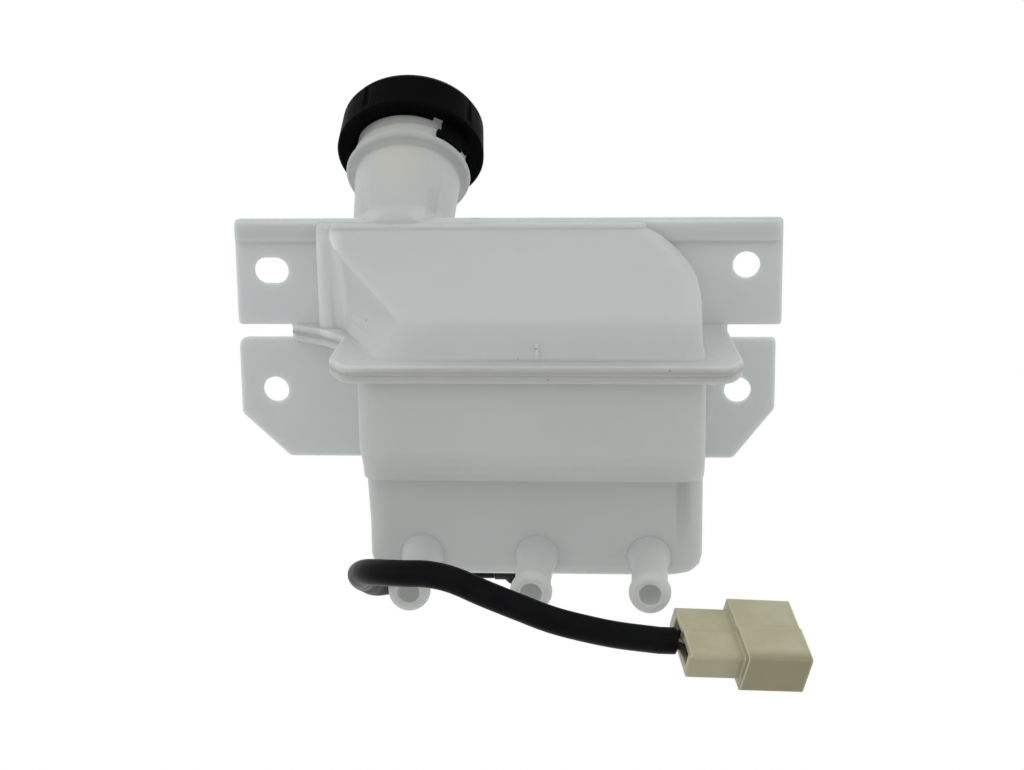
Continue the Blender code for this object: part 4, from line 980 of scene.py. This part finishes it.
def turned_ring(name, section, sides=96):
    """Closed ring with this section about the neck's axis."""
    bm = bmesh.new()
    rings = []
    for k in range(sides):
        a = 2.0 * math.pi * k / sides
        rings.append([bm.verts.new((r * math.cos(a), r * math.sin(a), s)) for r, s in section])
    for near, far in zip(rings, rings[1:] + rings[:1]):
        bridge(bm, near, far)
    bm.transform(neck_frame())
    return closed_mesh(bm, name, 60.0)


# Marks: centre, half size, darkness
UPPER_MARKS = (
    ((0.0137, -0.0663, -0.0164), (0.0009, 0.0040, 0.0004), 0.60),
    ((0.0079, -0.0690, -0.0195), (0.0004, 0.0030, 0.0004), 0.50),
    ((0.0563, -0.0765, -0.0213), (0.0006, 0.0040, 0.0005), 0.60),
    ((-0.0453, -0.0377, -0.0123), (0.0005, 0.0030, 0.0005), 0.45),
    ((-0.0444, -0.0649, -0.0201), (0.0042, 0.0006, 0.0030), 0.35),
    ((-0.0108, -0.0030, 0.0176), (0.0028, 0.0040, 0.0004), 0.40),
)
LOWER_MARKS = (
    ((0.0179, -0.0765, -0.0243), (0.0005, 0.0040, 0.0005), 0.50),
    ((-0.0170, -0.0635, -0.0602), (0.0080, 0.0030, 0.0004), 0.15),
)
# Tints: centre, half size, share, colour
UPPER_TINTS = (
    ((-0.0384, 0.0500, 0.0400), (0.0135, 0.0560, 0.0500), 0.55, "warm_color"),
    ((0.0735, 0.0000, 0.0110), (0.0150, 0.0060, 0.0030), 0.45, "warm_color"),
    # Seam tint with painted shade on the upper flange
    ((0.0200, -0.0700, -0.0225), (0.0750, 0.0300, 0.0034), 0.70, "seam_tint_and_flange_shade"),
    # Painted light on the box's left corner, then on the plate's top band
    ((-0.0622, -0.0160, -0.0030), (0.0085, 0.0110, 0.0230), 0.30, "painted_light_color"),
    ((0.0000, -0.0030, 0.0165), (0.1100, 0.0045, 0.0060), 0.22, "painted_light_color"),
)
# Bands of painted shade along the neck, on the collar and under the cap: from, to, share, colour
NECK_BANDS = (
    (0.0216, 0.0250, 0.75, "painted_shade_color"), (0.0256, 0.0318, 0.25, "painted_shade_color"),
    (0.0318, 0.0700, 0.65, "painted_shade_color"),
)
# Seam tint with painted shade on the lower flange
LOWER_TINTS = (
    ((0.0100, -0.0700, -0.0235), (0.0850, 0.0300, 0.0040), 0.60, "seam_tint_and_flange_shade"),
)


class RESERVOIR_OT_weld(bpy.types.Operator):
    """Bead of the hot plate weld that closes the seam round the flange"""
    bl_idname = "reservoir.weld"
    bl_label = "Weld Bead"

    def execute(self, context):
        tree, sockets = bead_tree()
        mat = weld_material()
        line = seam_line()
        mesh = grown_mesh("weld_bead", tree, sockets, {
            "Radius": 0.00060, "Uneven": 0.10, "Spacing": 0.0012, "Seed": 3.0, "Material": mat,
        }, line)
        mesh.shade_smooth()
        new_piece("weld_bead", outward(mesh), mat, "tank")
        return {"FINISHED"}


def seam_line():
    """Outer edge of the flange at the seam, as a closed loop of edges set a little inside."""
    bm = bmesh.new()
    bm.from_mesh(NODES["upper_tank"].data)
    bmesh.ops.remove_doubles(bm, verts=bm.verts, dist=0.000002)
    geometry = bm.verts[:] + bm.edges[:] + bm.faces[:]
    cut = bmesh.ops.bisect_plane(bm, geom=geometry, plane_co=(0.0, 0.0, SEAM_Z + 0.0010),
                                 plane_no=(0.0, 0.0, 1.0), dist=0.0000005)
    edges = [e for e in cut["geom_cut"] if isinstance(e, bmesh.types.BMEdge)]
    loops = edge_loops(edges)
    outer = max(loops, key=lambda pts: max(p.x for p in pts) - min(p.x for p in pts))
    bm.free()
    count = len(outer)
    middle = sum(outer, Vector()) / count
    line = bpy.data.meshes.new("seam_line")
    spots = []
    for p in outer:
        inward = Vector((middle.x - p.x, middle.y - p.y, 0.0)).normalized() * 0.00044
        y = min(p.y + inward.y, -0.0008)
        spots.append((p.x + inward.x, y, SEAM_Z))
    line.from_pydata(spots, [(i, (i + 1) % count) for i in range(count)], [])
    return line


def edge_loops(edges):
    """Order loose edges into closed loops of points."""
    links = {}
    for e in edges:
        a, b = e.verts
        links.setdefault(a, []).append(b)
        links.setdefault(b, []).append(a)
    loops = []
    unused = set(links)
    while unused:
        here = unused.pop()
        loop = [here]
        while True:
            onward = [v for v in links[here] if v in unused]
            if not onward:
                break
            here = onward[0]
            unused.discard(here)
            loop.append(here)
        if len(loop) > 3:
            loops.append([v.co.copy() for v in loop])
    return loops


class RESERVOIR_OT_cap(bpy.types.Operator):
    """Screw cap shell with its grained black plastic"""
    bl_idname = "reservoir.cap"
    bl_label = "Cap"

    def execute(self, context):
        black = cap_material()
        finished_skin("cap_shell", "cap_skin", black, "cap", 34.0)
        lug = arc_blocks("cap_lug", LUG_INNER, LUG_OUTER, LUG_STEPS)
        new_piece("cap_lug", lug, black, "cap")
        return {"FINISHED"}


# Lug under the cap's rim
LUG_INNER = 0.0213
LUG_OUTER = 0.0229
RIM_S = 0.0353
# First and last angle round the neck, lower and upper end along it
LUG_STEPS = (
    (-57.0, -51.5, 0.0266, 0.0300),
    (-52.0, -27.0, 0.0266, RIM_S),
    (-27.5, -13.0, 0.0303, RIM_S),
)


def arc_blocks(name, inner, outer, steps):
    """Curved blocks about the neck's axis, joined as one piece."""
    bm = bmesh.new()
    for first, last, low, high in steps:
        count = max(2, int((last - first) / 2.5))
        rings = []
        for k in range(count + 1):
            a = math.radians(first + (last - first) * k / count)
            way = Vector((math.cos(a), math.sin(a), 0.0))
            rings.append([bm.verts.new(way * radius + Vector((0.0, 0.0, s)))
                          for radius, s in ((inner, low), (outer, low), (outer, high),
                                            (inner, high))])
        for near, far in zip(rings, rings[1:]):
            bridge(bm, near, far)
        bm.faces.new(list(reversed(rings[0])))
        bm.faces.new(rings[-1])
    bm.transform(neck_frame())
    return closed_mesh(bm, name, 35.0)


class RESERVOIR_OT_threads(bpy.types.Operator):
    """Ridge on the neck and the ridge in the cap that runs under it"""
    bl_idname = "reservoir.threads"
    bl_label = "Threads"

    def execute(self, context):
        sizes = context.scene.thread_sizes
        tree, sockets = ridge_tree()
        half_pitch = sizes.pitch / 2.0
        drop = 0.0018
        neck_turn = sizes.cap_turn - 2.0 * math.pi * drop / sizes.pitch
        rows = (
            ("neck_thread", bpy.data.materials["upper_plastic"], "tank", "tank_plastic",
             NECK_RADIUS + sizes.proud * 0.42, sizes.cap_start + half_pitch - drop, neck_turn, False),
            ("cap_thread", bpy.data.materials["cap_black_grain"], "cap", "cap_plastic",
             CAP_BORE - sizes.proud * 0.42, sizes.cap_start, sizes.cap_turn, True),
        )
        for name, mat, body, slot, radius, start, turn, flip in rows:
            mesh = grown_mesh(name, tree, sockets, {
                "Turns": sizes.turns, "Radius": radius, "Pitch": sizes.pitch,
                "Height": sizes.proud, "Width": sizes.wide, "Steps": 64, "Material": mat,
            })
            if flip:
                turn_inwards(mesh, radius)
            mesh.transform(neck_frame(start) @ Matrix.Rotation(turn, 4, "Z"))
            outward(mesh)
            new_piece(name, shaded(mesh, 35.0), mat, body)
        return {"FINISHED"}


def turn_inwards(mesh, radius):
    """Mirror the swept section at this radius, so that its wide side lies on the cap's wall."""
    for v in mesh.vertices:
        flat = Vector((v.co.x, v.co.y, 0.0))
        away = flat.normalized() * (2.0 * radius - flat.length)
        v.co.x, v.co.y = away.x, away.y


class RESERVOIR_OT_inside(bpy.types.Operator):
    """Finish of the pieces inside the tank, the neck and the cap, and of the switch holder"""
    bl_idname = "reservoir.inside"
    bl_label = "Inner Pieces"

    def execute(self, context):
        white = white_part_material()
        rubber = plain_black_material("rubber_black", 0.75, 120.0)
        holder = plain_black_material("holder_black", 0.45, 120.0)
        tinned = tinned_material()
        finished_skin("strainer", "strainer_skin", white, "tank")
        finished_skin("cap_diaphragm", "diaphragm_skin", rubber, "cap_inner")
        finished_skin("cap_disc", "disc_skin", white, "cap_inner")
        finished_skin("switch_holder", "holder_skin", holder, "tank")
        for node, mat in (("float_body", float_material()), ("float_magnet", magnet_material()),
                          ("float_stop", white), ("reed_switch", reed_glass_material()),
                          ("reed_lead_a", tinned), ("reed_lead_b", tinned),
                          ("holder_ring", rubber), ("terminal_a", tinned),
                          ("terminal_b", tinned)):
            dress_node(node, mat)
        return {"FINISHED"}


class RESERVOIR_OT_connector(bpy.types.Operator):
    """Ivory connector housing"""
    bl_idname = "reservoir.connector"
    bl_label = "Connector"

    def execute(self, context):
        finished_skin("connector_housing", "connector_skin", connector_material(), "tank",
                      30.0)
        return {"FINISHED"}


class RESERVOIR_PT_panel(bpy.types.Panel):
    """Sidebar panel that lists the reservoir's makers in order"""
    bl_label = "Reservoir"
    bl_idname = "RESERVOIR_PT_panel"
    bl_space_type = "VIEW_3D"
    bl_region_type = "UI"
    bl_category = "Reservoir"

    def draw(self, context):
        layout = self.layout
        scene = context.scene
        for owner in (scene.tank_finish, scene.thread_sizes, scene.lead_sizes,
                      scene.reservoir_stage):
            box = layout.box()
            for key in type(owner).__annotations__:
                box.prop(owner, key)
        for operator in OPERATORS:
            layout.operator(operator.bl_idname)


OPERATORS = (
    RESERVOIR_OT_stage, RESERVOIR_OT_connector, RESERVOIR_OT_inside, RESERVOIR_OT_lead,
    RESERVOIR_OT_tank, RESERVOIR_OT_weld, RESERVOIR_OT_cap, RESERVOIR_OT_threads,
)
SETTINGS = (
    ("tank_finish", TankFinish), ("thread_sizes", ThreadSizes), ("lead_sizes", LeadSizes),
    ("reservoir_stage", StageSettings),
)


def register():
    for name, group in SETTINGS:
        bpy.utils.register_class(group)
        setattr(bpy.types.Scene, name, PointerProperty(type=group))
    for operator in OPERATORS:
        bpy.utils.register_class(operator)
    bpy.utils.register_class(RESERVOIR_PT_panel)


def unregister():
    bpy.utils.unregister_class(RESERVOIR_PT_panel)
    for operator in reversed(OPERATORS):
        bpy.utils.unregister_class(operator)
    for name, group in reversed(SETTINGS):
        delattr(bpy.types.Scene, name)
        bpy.utils.unregister_class(group)


def main():
    register()
    build_groups()
    bpy.ops.reservoir.stage()
    bpy.ops.reservoir.connector()
    bpy.ops.reservoir.inside()
    bpy.ops.reservoir.lead()
    bpy.ops.reservoir.tank()
    bpy.ops.reservoir.weld()
    bpy.ops.reservoir.cap()
    bpy.ops.reservoir.threads()


if __name__ == "__main__":
    main()
